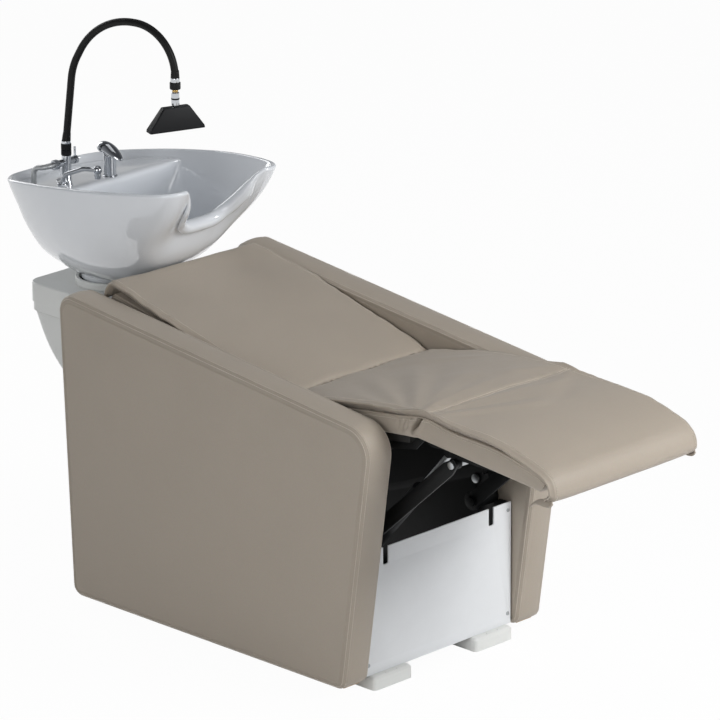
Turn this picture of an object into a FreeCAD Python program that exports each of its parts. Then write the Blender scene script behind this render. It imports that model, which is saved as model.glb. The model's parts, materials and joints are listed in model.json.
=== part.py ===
"""Hair washing bed: upholstered lounger with a lifting leg rest and a tilting ceramic basin.

Units are millimetres. X runs across the bed (+X is the sitter's left), -Y is the foot end,
+Y is the basin end and Z = 0 is the floor. Heights and lengths along the bed are measured
from the lower front corner of the arms, and place() moves each piece to the row's origin.
"""
import FreeCAD, Part
import math
import os

V = FreeCAD.Vector

# Overall
overall_width = 660.0
front_reach = 567.0
rear_reach = 1341.0
mat_nose_swell = 2.3
rear_rim_inset = 3.6
origin_y = (rear_reach - rear_rim_inset - front_reach - mat_nose_swell) / 2
cut_over = 2.0
seat_gap = 0.3
pin_gap = 0.05
run_gap = 1.0

# Arms: padded side walls that hide a timber core
arm_thickness = 82.4
arm_bottom_z = 26.0
arm_rear_inset = 436.5
arm_bottom_length = rear_reach - arm_rear_inset
arm_front_lean = 90.7
arm_front_height = 664.2
arm_back_lean = 35.4
arm_back_height = 775.8
arm_low_radius = 28.0
arm_top_radius = 72.0
arm_back_radius = 42.0
arm_edge_radius = 14.0
arm_foam = 16.0
arm_inner_x = overall_width / 2 - arm_thickness

# Black steel side plates and the tubes between them
plate_thickness = 4.0
plate_front_y = 60.0
plate_rear_inset = 461.0
plate_rear_y = rear_reach - plate_rear_inset
plate_low_z = 46.0
plate_front_top_z = 585.0
plate_rear_top_z = 560.0
plate_window_margin = 70.0
plate_middle_y = 330.0
plate_front_low_z = 420.0
plate_radius = 25.0
tube_size = 40.0
tube_wall = 2.5
front_tube_y = 100.0
middle_tube_y = 246.0
rear_tube_inset = 541.0
rear_tube_y = rear_reach - rear_tube_inset
seat_tube_y = 250.0
seat_tube_z = 530.0
back_tube_inset = 581.0
back_tube_y = rear_reach - back_tube_inset
back_post_thickness = 5.0
back_post_width = 50.0
arm_bolt_radius = 6.0
post_depth = 32.0
arm_bolt_head_radius = 11.0
arm_bolt_head_height = 6.0
arm_bolt_length = 34.0
arm_bolt_y_shares = (0.08, 0.92)
arm_bolt_z_shares = (0.12, 0.62)

# Front panel: white folded sheet with a slot for each lift arm
panel_front_y = 14.6
panel_thickness = 3.0
panel_low_z = 32.7
panel_top_z = 335.0
panel_side_gap = 0.2
panel_half_width = arm_inner_x - plate_thickness - panel_side_gap
slot_width = 17.0
slot_depth = 43.0
screw_head_radius = 5.0
screw_head_height = 2.4
screw_shank_radius = 2.4
screw_inset_x = 10.5
screw_inset_low = 25.7
screw_inset_top = 19.0

# Feet: white moulded blocks
foot_width = 125.0
foot_centre_inset = 78.6
foot_centre_x = arm_inner_x - foot_centre_inset
foot_depth = 96.0
foot_height = 32.4
foot_front_y = -4.0
foot_rear_inset = 606.0
foot_rear_y = rear_reach - foot_rear_inset
foot_bevel = 9.0
foot_corner_radius = 9.0
foot_hole_radius = 2.2
foot_hole_pitch = 36.0
foot_hole_depth = 9.0

# Seat, back and leg rest surfaces, measured on top of the loose padded mat
fold_y = 276.0
fold_z = 655.0
seam_y = -171.0
seam_z = 718.0
back_top_inset = 496.0
back_top_y = rear_reach - back_top_inset
back_top_z = 792.0
back_end_drop = 34.0
back_end_reach = 32.0
mat_thickness = 20.0
mat_side_gap = 5.1
mat_half_width = arm_inner_x - mat_side_gap
cushion_side_gap = 12.6
cushion_half_width = arm_inner_x - cushion_side_gap
seat_cushion_depth = 48.0
back_cushion_depth = 52.0
board_thickness = 15.0
board_inset = 22.0
board_drop = 1.4
back_board_drop = 0.1
cushion_lift = 0.9
board_end_room = 3.0
cushion_crown = 9.0
mat_crown = 4.0
surface_bulge = 7.0
panel_split_gap = 8.0

# Leg rest
leg_drop = 128.0
leg_under_z = 646.0
leg_under_shares = (0.0, 0.25, 0.5, 0.75, 1.0)
leg_under_front_z = 612.0
hinge_y = -135.0
hinge_z = 645.0
hinge_pin_radius = 6.0
hinge_knuckle_radius = 10.0
hinge_plate_thickness = 4.0
leg_hinge_inset = 48.6
leg_hinge_x = arm_inner_x - leg_hinge_inset
hinge_plate_reach = 92.0
hinge_plate_depth = 18.0
cushion_fold_gap = 8.0
leg_nose_inset = 50.0
board_inlay_depth = 2.0
track_width = 15.0
track_inset = 91.6
track_inner_x = arm_inner_x - track_inset
track_overrun = 16.0
track_front_y = -477.0
track_low_z = 597.4
seat_rail_inset = 41.6
seat_rail_x = arm_inner_x - seat_rail_inset
seat_rail_thickness = 5.0
seat_rail_nose_depth = 18.0
front_seat_tube_y = 105.0
front_seat_tube_z = 550.0
hinge_rod_over = 5.0
bridge_thickness = 5.0

# Lift arms on a cross shaft, with a roller at each tip
shaft_y = 75.0
shaft_z = 338.0
arm_tip_y = -197.0
arm_tip_z = 585.0
lift_arm_inset = 71.6
lift_arm_x = arm_inner_x - lift_arm_inset
lift_arm_thickness = 8.0
lift_arm_width = 35.0
shaft_radius = 8.0
bearing_radius = 22.0
boss_radius = 20.0
pivot_head_radius = 13.0
pivot_head_height = 6.0
pivot_bolt_depth = 45.0
sleeve_radius = 9.0
roller_radius = 12.0
roller_length = 14.0
roller_bolt_radius = 5.0
roller_bolt_head_radius = 9.0
roller_bolt_head_height = 5.0

# Electric actuator that pushes the left lift arm
actuator_inset = 107.6
actuator_x = -arm_inner_x + actuator_inset
actuator_foot_y = 246.0
actuator_foot_z = 130.0
actuator_pin_y = -160.0
actuator_pin_z = 599.0
actuator_pin_radius = 5.0
actuator_tube_radius = 19.0
actuator_tube_length = 470.0
actuator_bore_start = 230.0
actuator_rod_radius = 8.0
actuator_motor_radius = 26.0
actuator_motor_length = 96.0
actuator_motor_offset = 44.0
actuator_lug_thickness = 6.0
actuator_rod_inside = 290.0
gear_length = 30.0
gear_start_reach = 34.0
rod_eye_radius = 14.0
rod_eye_thickness = 16.5
rod_slot_travel = 6.0
slot_along_share = 0.7
slot_across_share = 0.7
slot_play = 0.6
lug_width = 24.0
control_box_size = (150.0, 90.0, 46.0)
control_box_x = 30.0
clip_y = 92.0
clip_z = 408.0
clip_reach = 14.0
clip_drop = 22.0
clip_radius = 1.6

# Basin: glazed ceramic bowl with two horns and a neck notch between them, carried by the pedestal
pedestal_top_z = 682.0
basin_length = 677.0
rim_front_y = rear_reach - basin_length
rim_front_rise = 348.0
rim_front_z = pedestal_top_z + rim_front_rise
rim_back_rise = 247.0
rim_back_z = pedestal_top_z + rim_back_rise
rim_bow = 9.0
basin_wall = 12.0
basin_level_rises = (26.0, 45.0, 81.0, 137.0, 192.0, 248.0, 303.0, 378.0)
basin_level_z = tuple(pedestal_top_z + rise for rise in basin_level_rises)
basin_front_insets = (286.0, 361.0, 443.0, 513.0, 565.0, 614.0, 651.0, 686.0)
basin_front_y = tuple(rear_reach - inset for inset in basin_front_insets)
basin_back_insets = (141.0, 108.0, 70.0, 41.0, 25.0, 4.0, -13.0, -34.0)
basin_back_y = tuple(rear_reach - inset for inset in basin_back_insets)
basin_half_width = (60.0, 87.0, 129.0, 165.0, 191.0, 211.0, 226.0, 243.0)
plan_half_width_shares = (0.0, 0.27, 0.54, 0.75, 0.862, 0.965, 1.0, 1.01, 0.98, 0.93, 0.85, 0.73, 0.53,
                          0.28, 0.0)
plan_length_shares = (0.0, 0.0, 0.012, 0.075, 0.174, 0.347, 0.478, 0.583, 0.672, 0.751, 0.84, 0.918, 0.97,
                      0.994, 1.0)
notch_half_width = 90.0
notch_top_half_width = 126.0
notch_floor_rise = 248.0
notch_floor_z = pedestal_top_z + notch_floor_rise
notch_radius = 62.0
notch_reach = 150.0
lip_radius = 13.0
lip_inset = 589.0
lip_y = rear_reach - lip_inset
lip_top_inset = 640.0
lip_top_y = rear_reach - lip_top_inset
deck_length = 261.0
deck_front_y = rear_reach - deck_length
deck_drop = 20.0
deck_thickness = 14.0
divider_foot_inset = 199.0
divider_foot_y = rear_reach - divider_foot_inset
drain_inset = 256.0
drain_y = rear_reach - drain_inset
drain_flange_radius = 30.0
drain_flange_height = 4.0
drain_pipe_radius = 16.0
drain_pipe_length = 62.0
strainer_radius = 22.0
strainer_thickness = 1.6
strainer_hole_radius = 2.2
strainer_knob_height = 9.0
drain_pipe_wall = 2.5

# Collar, post and tilt pivot under the basin
collar_inset = 221.0
collar_y = rear_reach - collar_inset
collar_radius = 76.0
collar_wall = 9.0
collar_height = 17.5
collar_top_z = pedestal_top_z + collar_height
pivot_inset = 181.0
pivot_y = rear_reach - pivot_inset
pivot_rise = 4.0
pivot_z = pedestal_top_z + pivot_rise
pivot_radius = 6.0
pivot_half_length = 37.0
saddle_thickness = 5.0
saddle_front_inset = 229.0
saddle_front_y = rear_reach - saddle_front_inset
saddle_rear_inset = 167.0
saddle_rear_y = rear_reach - saddle_rear_inset
saddle_half_width = 32.0
lug_x = 24.0
fork_thickness = 5.0
fork_depth = 60.0
post_head_room = 8.0
post_arm_size = 60.0
post_inset = 411.0
post_y = rear_reach - post_inset
post_size = 60.0
post_wall = 3.0
post_foot_size = 150.0
post_foot_thickness = 8.0

# Pedestal: white moulded cover behind the arms
pedestal_half_width = 130.0
pedestal_front_inset = 503.0
pedestal_front_y = rear_reach - pedestal_front_inset
pedestal_back_inset = 74.0
pedestal_back_y = rear_reach - pedestal_back_inset
pedestal_wall = 4.0
pedestal_base_inset = 356.0
pedestal_base_y = rear_reach - pedestal_base_inset
pedestal_band_top_drop = 49.0
pedestal_band_top_z = pedestal_top_z - pedestal_band_top_drop
pedestal_band_low_drop = 71.0
pedestal_band_low_z = pedestal_top_z - pedestal_band_low_drop
pedestal_band_inset = 3.0
pedestal_corner_radius = 38.0
pedestal_edge_radius = 12.0
pedestal_low_z = 6.0
pedestal_curve_z_shares = (1.0, 0.972, 0.916, 0.836, 0.782, 0.69, 0.585, 0.46, 0.354, 0.2, 0.0)
pedestal_curve_y_shares = (0.98, 0.95, 0.889, 0.767, 0.645, 0.4, 0.197, 0.08, 0.03, 0.0, 0.0)

# Mixer tap
mixer_inset = 238.5
mixer_y = rear_reach - mixer_inset
mixer_radius = 14.9
mixer_height = 51.0
mixer_ring_radius = 18.0
mixer_ring_height = 4.0
cartridge_radius = 12.0
cartridge_height = 17.0
lever_half_width = 16.5
lever_back_reach = 36.5
lever_back_y = mixer_y + lever_back_reach
lever_front_reach = 42.0
lever_front_y = mixer_y - lever_front_reach
lever_tip_drop = 5.552
lever_top_rise = 29.448
lever_pivot_reach = 10.5
lever_pivot_y = mixer_y + lever_pivot_reach
lever_pivot_rise = 10.448
lever_pin_radius = 2.5
lever_ear_half = 5.0
lever_pocket_reach = 9.0
lever_y_shares = (0.0, 0.1, 0.3, 0.5, 0.7, 0.88, 1.0)
lever_width_shares = (0.42, 0.78, 1.0, 1.06, 1.0, 0.72, 0.3)
lever_top_shares = (0.72, 0.92, 1.0, 0.9, 0.66, 0.36, 0.1)
lever_low_shares = (0.5, 0.42, 0.36, 0.33, 0.2, 0.06, -0.02)

# Valve, supply pipe and gooseneck arm
valve_x = -60.0
valve_inset = 151.0
valve_y = rear_reach - valve_inset
valve_radius = 11.5
valve_rise = 316.0
valve_top_z = pedestal_top_z + valve_rise
valve_flange_radius = 26.0
valve_flange_height = 3.0
port_rise = 299.0
port_z = pedestal_top_z + port_rise
port_radius = 8.5
port_length = 30.0
nut_radius = 10.5
nut_length = 13.0
valve_knob_radius = 10.0
valve_knob_length = 9.0
valve_pin_radius = 2.8
valve_pin_length = 22.0
coupling_radius = 12.5
coupling_height = 29.0
hose_radius = 9.0
goose_turn_degrees = 9.4624
goose_base_shift = 3.0
goose_base_y = valve_y + goose_base_shift
goose_lean_s = 26.0
goose_lean_rise = 224.0
goose_lean_z = valve_top_z + goose_lean_rise
goose_corner_s = 103.4
goose_rise = 360.0
goose_top_z = valve_top_z + goose_rise
goose_end_s = 330.0
goose_end_drop = 115.0
goose_end_z = goose_top_z - goose_end_drop
goose_bends = (150.0, 186.0, 113.0)
end_ring_height = 11.0
end_ring_radius = 11.0
ring_play = 1.4
hose_start_lift = 1.3
neck_height = 8.0
neck_radius = 6.5
ball_drop = 4.0
hose_bore_radius = 6.0
boot_length = 17.0
boot_radius = 10.6
ring_height = 7.0
neck_nut_radius = 13.0
neck_nut_height = 17.0
neck_pin_radius = 3.5
ball_radius = 6.0
stem_radius = 9.6
stem_height = 31.0
supply_radius = 6.5
supply_turn_x = -126.0
supply_drop_x = -128.0
supply_reach = 42.0
supply_rear_drop = 9.0
supply_end_drop = 76.0
supply_points = ((supply_turn_x, valve_y, port_z),
                 (supply_drop_x, valve_y + supply_reach, port_z - supply_rear_drop),
                 (supply_drop_x, valve_y + supply_reach, port_z - supply_end_drop))
supply_bends = (17.0, 20.0)

# Fan shaped spray head
head_turn_degrees = -20.0
head_top_width = 68.0
head_width = 141.0
head_height = 56.0
head_top_depth = 20.0
head_depth = 30.0
head_edge_radius = 4.0
head_top_over = 6.0
head_foot_height = 6.0
jet_plate_thickness = 3.0
jet_count = 11
jet_radius = 1.6
jet_height = 1.2

# Filling spout
spout_foot_x = -117.0
spout_foot_inset = 199.0
spout_foot_y = rear_reach - spout_foot_inset
spout_collar_radius = 13.0
spout_collar_height = 8.0
spout_radius = 5.5
spout_rise = 26.0
spout_end_x = -80.0
spout_reach = 82.0
spout_end_y = spout_foot_y - spout_reach
spout_end_rise = 48.0
spout_knuckle_radius = 11.0
aerator_radius = 8.0
aerator_length = 10.0
aerator_drop = 11.0
collar_step = 2.0
spout_bend = 22.0
spout_level_bend = 40.0
spout_level_share = 0.6
pin_hole_radius = 1.5

shapes = {}


def place(name, shape):
    """Moves a finished piece to the row's origin and keeps it under its name."""
    moved = shape.copy()
    moved.translate(V(0, -origin_y, 0))
    shapes[name] = moved


def box(x0, x1, y0, y1, z0, z1):
    return Part.makeBox(x1 - x0, y1 - y0, z1 - z0, V(x0, y0, z0))


def rod(start, end, radius):
    direction = end - start
    return Part.makeCylinder(radius, direction.Length, start, direction)


def joined(pieces):
    result = pieces[0]
    for piece in pieces[1:]:
        result = result.fuse(piece)
    return result.removeSplitter()


def corner_arc(before, corner, after, radius):
    """Returns where a corner arc starts, passes and ends between two straight runs."""
    to_before = (before - corner).normalize()
    to_after = (after - corner).normalize()
    half_angle = to_before.getAngle(to_after) / 2
    reach = radius / math.tan(half_angle)
    start = corner + to_before * reach
    end = corner + to_after * reach
    middle_line = (to_before + to_after).normalize()
    centre = corner + middle_line * (radius / math.sin(half_angle))
    return start, centre - middle_line * radius, end


def rounded_loop(points, radii):
    """Closed wire through the points, with an arc at each corner that has a radius."""
    edges = []
    count = len(points)
    starts, ends = [], []
    for i, corner in enumerate(points):
        if radii[i] > 0:
            start, middle, end = corner_arc(points[i - 1], corner, points[(i + 1) % count], radii[i])
            edges.append(Part.Arc(start, middle, end).toShape())
        else:
            start, end = corner, corner
        starts.append(start)
        ends.append(end)
        if i > 0 and (ends[i - 1] - start).Length > run_gap / 100:
            edges.append(Part.LineSegment(ends[i - 1], start).toShape())
    if (ends[-1] - starts[0]).Length > run_gap / 100:
        edges.append(Part.LineSegment(ends[-1], starts[0]).toShape())
    return Part.Wire(Part.__sortEdges__(edges))


def rounded_run(points, bends):
    """Open wire along the points, with a tangent arc at each inner one."""
    edges = []
    last = points[0]
    for i in range(1, len(points) - 1):
        start, middle, end = corner_arc(points[i - 1], points[i], points[i + 1], bends[i - 1])
        if (start - last).Length > run_gap / 100:
            edges.append(Part.LineSegment(last, start).toShape())
        edges.append(Part.Arc(start, middle, end).toShape())
        last = end
    edges.append(Part.LineSegment(last, points[-1]).toShape())
    return Part.Wire(edges)


def tube_along(points, bends, radius):
    path = rounded_run(points, bends)
    ring = Part.Wire([Part.makeCircle(radius, points[0], points[1] - points[0])])
    return path.makePipeShell([ring], True, False)


def side_plate(points, radii, x0, x1):
    """Plate across X whose outline is given by (y, z) pairs."""
    wire = rounded_loop([V(x0, y, z) for y, z in points], radii)
    return Part.Face(wire).extrude(V(x1 - x0, 0, 0))


def mirrored(shape):
    return shape.mirror(V(0, 0, 0), V(1, 0, 0))


def offset_outline(points, distance):
    """Moves a closed (y, z) outline inwards by a distance, point by point."""
    area = sum(a[0] * b[1] - b[0] * a[1] for a, b in zip(points, points[1:] + points[:1]))
    turn = 1 if area > 0 else -1
    moved = []
    count = len(points)
    for i in range(count):
        before, here, after = points[i - 1], points[i], points[(i + 1) % count]
        one = (here[0] - before[0], here[1] - before[1])
        two = (after[0] - here[0], after[1] - here[1])
        one_length, two_length = math.hypot(*one), math.hypot(*two)
        normal_y = -(one[1] / one_length + two[1] / two_length)
        normal_z = one[0] / one_length + two[0] / two_length
        size = math.hypot(normal_y, normal_z)
        stretch = min(2 / size, 1.35)
        moved.append((here[0] + turn * distance * stretch * normal_y / size,
                      here[1] + turn * distance * stretch * normal_z / size))
    return moved


def offset_run(points, distance):
    """Moves an open (y, z) run to its right-hand side, seen along the run."""
    moved = []
    for i, here in enumerate(points):
        before = points[max(i - 1, 0)]
        after = points[min(i + 1, len(points) - 1)]
        run_y, run_z = after[0] - before[0], after[1] - before[1]
        length = math.hypot(run_y, run_z)
        moved.append((here[0] + distance * run_z / length, here[1] - distance * run_y / length))
    return moved


soft_station_shares = (1.0, 0.985, 0.93, 0.55, 0.0)
soft_inset_shares = (1.0, 0.5, 0.12, -0.35, -0.55)


def soft_solid(outline, half_width, crown):
    """Padded form: full in the middle, drawn in towards its two side seams."""
    stations = [(-s, i) for s, i in zip(soft_station_shares, soft_inset_shares)]
    stations += [(s, i) for s, i in reversed(list(zip(soft_station_shares[:-1], soft_inset_shares[:-1])))]
    wires = []
    for station_share, inset_share in stations:
        loop = offset_outline(outline, crown * inset_share)
        corners = [V(station_share * half_width, y, z) for y, z in loop]
        wires.append(Part.makePolygon(corners + corners[:1]))
    return Part.makeLoft(wires, True, True)


def along(start, end, run_shares, lift_shares, lift):
    """Points from start to end, lifted off the straight line by shares of a height."""
    points = []
    for run_share, lift_share in zip(run_shares, lift_shares):
        points.append((start[0] + (end[0] - start[0]) * run_share,
                       start[1] + (end[1] - start[1]) * run_share + lift * lift_share))
    return points


# Upholstery lines, from the basin end towards the feet
back_run_shares = (0.0, 0.05, 0.17, 0.34, 0.5, 0.66, 0.83, 1.0)
back_lift_shares = (0.0, 0.45, 0.7, 1.0, 1.1, 0.9, 0.5, 0.0)
seat_run_shares = (0.0, 0.19, 0.39, 0.62, 0.83, 1.0)
seat_lift_shares = (0.0, 0.55, 1.0, 1.2, 0.8, 0.0)
leg_run_shares = (0.0, 0.21, 0.43, 0.59, 0.74, 0.88, 0.955, 0.99, 1.0, 0.975, 0.91)
leg_fall_shares = (0.0, 0.045, 0.07, 0.125, 0.215, 0.345, 0.48, 0.63, 0.80, 0.93, 1.0)


def back_line():
    top = along((back_top_y, back_top_z), (fold_y + panel_split_gap / 2, fold_z),
                back_run_shares, back_lift_shares, surface_bulge)
    end = [(back_top_y + back_end_reach, back_top_z - back_end_drop),
           (back_top_y + back_end_reach * 0.75, back_top_z - back_end_drop * 0.4)]
    return end + top


def seat_line():
    return along((fold_y - panel_split_gap / 2, fold_z), (seam_y + panel_split_gap / 2, seam_z),
                 seat_run_shares, seat_lift_shares, surface_bulge)


def leg_line():
    length = front_reach + seam_y - panel_split_gap / 2
    return [(seam_y - panel_split_gap / 2 - length * run_share, seam_z - leg_drop * fall_share)
            for run_share, fall_share in zip(leg_run_shares, leg_fall_shares)]


def mat_piece(line, crown_room):
    outer = [(y, z - crown_room) for y, z in line]
    inner = offset_run(line, -(mat_thickness - seat_gap))
    return soft_solid(outer + inner[::-1], mat_half_width, mat_crown)


def make_arms():
    outline = [(0, arm_bottom_z), (arm_bottom_length, arm_bottom_z),
               (arm_bottom_length + arm_back_lean, arm_back_height), (-arm_front_lean, arm_front_height)]
    radii = [arm_low_radius, arm_low_radius, arm_back_radius, arm_top_radius]
    cover = side_plate(outline, radii, arm_inner_x, arm_inner_x + arm_thickness)
    edges = [edge for edge in cover.Edges if abs(edge.tangentAt(edge.FirstParameter).x) < 0.5]
    cover = cover.makeFillet(arm_edge_radius, edges)
    core_outline = offset_outline(outline, arm_foam)
    core_outline[0] = (core_outline[0][0], arm_bottom_z)
    core_outline[1] = (core_outline[1][0], arm_bottom_z)
    core_radii = [0, 0, arm_back_radius - arm_foam, arm_top_radius - arm_foam]
    core = side_plate(core_outline, core_radii, arm_inner_x + arm_foam,
                      arm_inner_x + arm_thickness - arm_foam)
    cover = cover.cut(core)
    holes = [rod(V(arm_inner_x - cut_over, y, z), V(arm_inner_x + arm_bolt_length, y, z), arm_bolt_radius)
             for y, z in arm_bolt_places()]
    for hole in holes:
        cover = cover.cut(hole)
        core = core.cut(hole)
    place("right_arm_cover", cover)
    place("right_arm_core", core)
    place("left_arm_cover", mirrored(cover))
    place("left_arm_core", mirrored(core))


def arm_bolt_places():
    length = plate_rear_y - plate_front_y
    height = plate_rear_top_z - plate_low_z
    return [(plate_front_y + length * y_share, plate_low_z + height * z_share)
            for y_share in arm_bolt_y_shares for z_share in arm_bolt_z_shares]


def make_side_plates():
    inner_x = arm_inner_x - plate_thickness
    outline = [(plate_front_y, plate_low_z), (plate_rear_y, plate_low_z), (plate_rear_y, plate_rear_top_z),
               (plate_middle_y, plate_rear_top_z), (plate_middle_y - plate_window_margin, plate_front_top_z),
               (plate_front_y + plate_window_margin, plate_front_top_z), (plate_front_y, plate_front_low_z)]
    radii = [plate_radius, plate_radius, plate_radius, 0, 0, plate_radius, plate_radius]
    plate = side_plate(outline, radii, inner_x, arm_inner_x)
    bolts = []
    for y, z in arm_bolt_places():
        shank = rod(V(inner_x - seat_gap, y, z), V(arm_inner_x + arm_bolt_length, y, z), arm_bolt_radius)
        head = rod(V(inner_x - arm_bolt_head_height, y, z), V(inner_x, y, z), arm_bolt_head_radius)
        plate = plate.cut(rod(V(inner_x - cut_over, y, z), V(arm_inner_x + cut_over, y, z),
                              arm_bolt_radius + pin_gap))
        bolts.append(joined([shank, head]))
    place("right_side_plate", plate)
    place("left_side_plate", mirrored(plate))
    place("arm_bolts", Part.makeCompound(bolts + [mirrored(bolt) for bolt in bolts]))


def cross_tube(y_centre, z_centre, half_length, size):
    outer = box(-half_length, half_length, y_centre - size / 2, y_centre + size / 2,
                z_centre - size / 2, z_centre + size / 2)
    inner_size = size - 2 * tube_wall
    inner = box(-half_length - cut_over, half_length + cut_over, y_centre - inner_size / 2,
                y_centre + inner_size / 2, z_centre - inner_size / 2, z_centre + inner_size / 2)
    return outer.cut(inner)


def make_base_frame():
    inner_x = arm_inner_x - plate_thickness
    rail_z = foot_height + tube_size / 2
    rail_x = inner_x - tube_size / 2
    rail_front = panel_front_y + panel_thickness
    rail = box(rail_x - tube_size / 2, rail_x + tube_size / 2, rail_front, plate_rear_y,
               rail_z - tube_size / 2, rail_z + tube_size / 2)
    wall_size = tube_size - 2 * tube_wall
    bore = box(rail_x - wall_size / 2, rail_x + wall_size / 2, rail_front + post_depth,
               plate_rear_y + cut_over,
               rail_z - wall_size / 2, rail_z + wall_size / 2)
    rail = rail.cut(bore)
    screw_x, screw_z = panel_half_width - screw_inset_x, panel_low_z + screw_inset_low
    rail = rail.cut(rod(V(screw_x, rail_front - cut_over, screw_z),
                        V(screw_x, rail_front + post_depth / 2, screw_z),
                        screw_shank_radius))
    place("right_base_rail", rail)
    place("left_base_rail", mirrored(rail))
    low_half = rail_x - tube_size / 2
    place("front_cross_tube", cross_tube(front_tube_y, rail_z, low_half, tube_size))
    place("middle_cross_tube", cross_tube(middle_tube_y, rail_z, low_half, tube_size))
    place("rear_cross_tube", cross_tube(rear_tube_y, rail_z, low_half, tube_size))
    place("seat_cross_tube", cross_tube(seat_tube_y, seat_tube_z, inner_x, tube_size))


def make_front_panel():
    back_y = panel_front_y + panel_thickness
    sheet = box(-panel_half_width, panel_half_width, panel_front_y, back_y, panel_low_z, panel_top_z)
    for side in (-1, 1):
        centre = side * lift_arm_x
        slot = box(centre - slot_width / 2, centre + slot_width / 2, panel_front_y - cut_over,
                   back_y + cut_over, panel_top_z - slot_depth, panel_top_z + cut_over)
        corners = [edge for edge in slot.Edges
                   if abs(edge.tangentAt(0).y) > 0.5 and edge.CenterOfMass.z < panel_top_z - slot_depth / 2]
        sheet = sheet.cut(slot.makeFillet(slot_width / 4, corners))
    screws = []
    post_end = back_y + post_depth
    inner_x = arm_inner_x - plate_thickness
    for side, label in ((-1, "left"), (1, "right")):
        far_x = side * inner_x
        near_x = side * (panel_half_width - 2 * screw_inset_x)
        post = box(min(far_x, near_x), max(far_x, near_x), back_y, post_end, foot_height + tube_size,
                   panel_top_z - tube_wall)
        for z in (panel_low_z + screw_inset_low, panel_top_z - screw_inset_top):
            x = side * (panel_half_width - screw_inset_x)
            shank = rod(V(x, panel_front_y - seat_gap, z), V(x, back_y + post_depth / 2, z),
                        screw_shank_radius)
            head = rod(V(x, panel_front_y - screw_head_height, z), V(x, panel_front_y, z), screw_head_radius)
            rim = [edge for edge in head.Edges if abs(edge.BoundBox.YMax - head.BoundBox.YMin) < run_gap / 10]
            head = head.makeFillet(screw_head_height * 0.6, rim[:1])
            sheet = sheet.cut(shank)
            post = post.cut(shank)
            screws.append(joined([shank, head]))
        place(label + "_front_post", post)
    place("front_panel", sheet.removeSplitter())
    place("panel_screws", Part.makeCompound(screws))


def make_feet():
    for name, centre_x, front_y in (("left_front_foot", -foot_centre_x, foot_front_y),
                                    ("right_front_foot", foot_centre_x, foot_front_y),
                                    ("left_rear_foot", -foot_centre_x, foot_rear_y),
                                    ("right_rear_foot", foot_centre_x, foot_rear_y)):
        block = box(centre_x - foot_width / 2, centre_x + foot_width / 2, front_y, front_y + foot_depth,
                    0, foot_height)
        upright = [edge for edge in block.Edges if abs(edge.tangentAt(0).z) > 0.5]
        block = block.makeFillet(foot_corner_radius, upright)
        top = [edge for edge in block.Edges if abs(edge.BoundBox.ZMin - foot_height) < run_gap / 10]
        block = block.makeChamfer(foot_bevel * 0.6, top)
        for side in (-1, 1):
            x = centre_x + side * foot_hole_pitch / 2
            y = front_y + foot_bevel
            hole = rod(V(x, y, foot_height + cut_over), V(x, y, foot_height - foot_hole_depth),
                       foot_hole_radius)
            block = block.cut(hole)
        place(name, block)


def make_upholstery():
    back = back_line()
    seat = seat_line()
    leg = leg_line()
    place("back_mat", mat_piece(back, mat_crown * 0.5))
    place("seat_mat", mat_piece(seat, mat_crown * 0.5))
    place("legrest_mat", mat_piece(leg, 0))

    crown_room = cushion_crown * 0.6
    under_mat = mat_thickness + mat_crown * 0.6 + seat_gap + crown_room - cushion_lift
    top = offset_run(back[3:-1], -under_mat)
    bottom = offset_run(back[3:-1], -(under_mat + back_cushion_depth - crown_room))
    outline = top + bottom[::-1]
    place("back_cushion", soft_solid(outline, cushion_half_width, cushion_crown))
    board_top = (bottom[1][0], bottom[1][1] - crown_room - back_board_drop)
    board_end = (bottom[-2][0], bottom[-2][1] - crown_room - back_board_drop)
    place("back_board", board_between(board_top, board_end))
    back_ends = (board_top, board_end)

    top = offset_run(seat[:-1] + [(hinge_y + board_inset, seat[-1][1] - surface_bulge / 2)], -under_mat)
    bottom = offset_run(seat[:-1] + [(hinge_y + board_inset, seat[-1][1] - surface_bulge / 2)],
                        -(under_mat + seat_cushion_depth - crown_room))
    outline = top + bottom[::-1]
    place("seat_cushion", soft_solid(outline, cushion_half_width, cushion_crown))
    board_top = (bottom[1][0], bottom[1][1] - crown_room - board_drop)
    board_end = (bottom[-1][0] + board_inset, bottom[-1][1] - crown_room - board_drop)
    place("seat_board", board_between(board_top, board_end))
    return back_ends, (board_top, board_end)


def board_between(start, end):
    """Flat timber board whose upper face runs from one (y, z) place to another."""
    lower = offset_run([start, end], -board_thickness)
    outline = [start, end, lower[1], lower[0]]
    half_width = cushion_half_width - board_inset
    return side_plate(outline, [0, 0, 0, 0], -half_width, half_width)


def leg_bottom():
    """Lower edge of the leg rest cushion, from its front to the hinge."""
    start = (-front_reach + leg_nose_inset, leg_under_front_z)
    end = (hinge_y - cushion_fold_gap, leg_under_z)
    return along(start, end, leg_under_shares, [0] * len(leg_under_shares), 0)


def board_low_z(y):
    """Height of the leg rest board's lower face at a place along it."""
    start, end = leg_bottom()[0], leg_bottom()[-1]
    share = (y - start[0]) / (end[0] - start[0])
    return start[1] + (end[1] - start[1]) * share - board_inlay_depth


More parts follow.
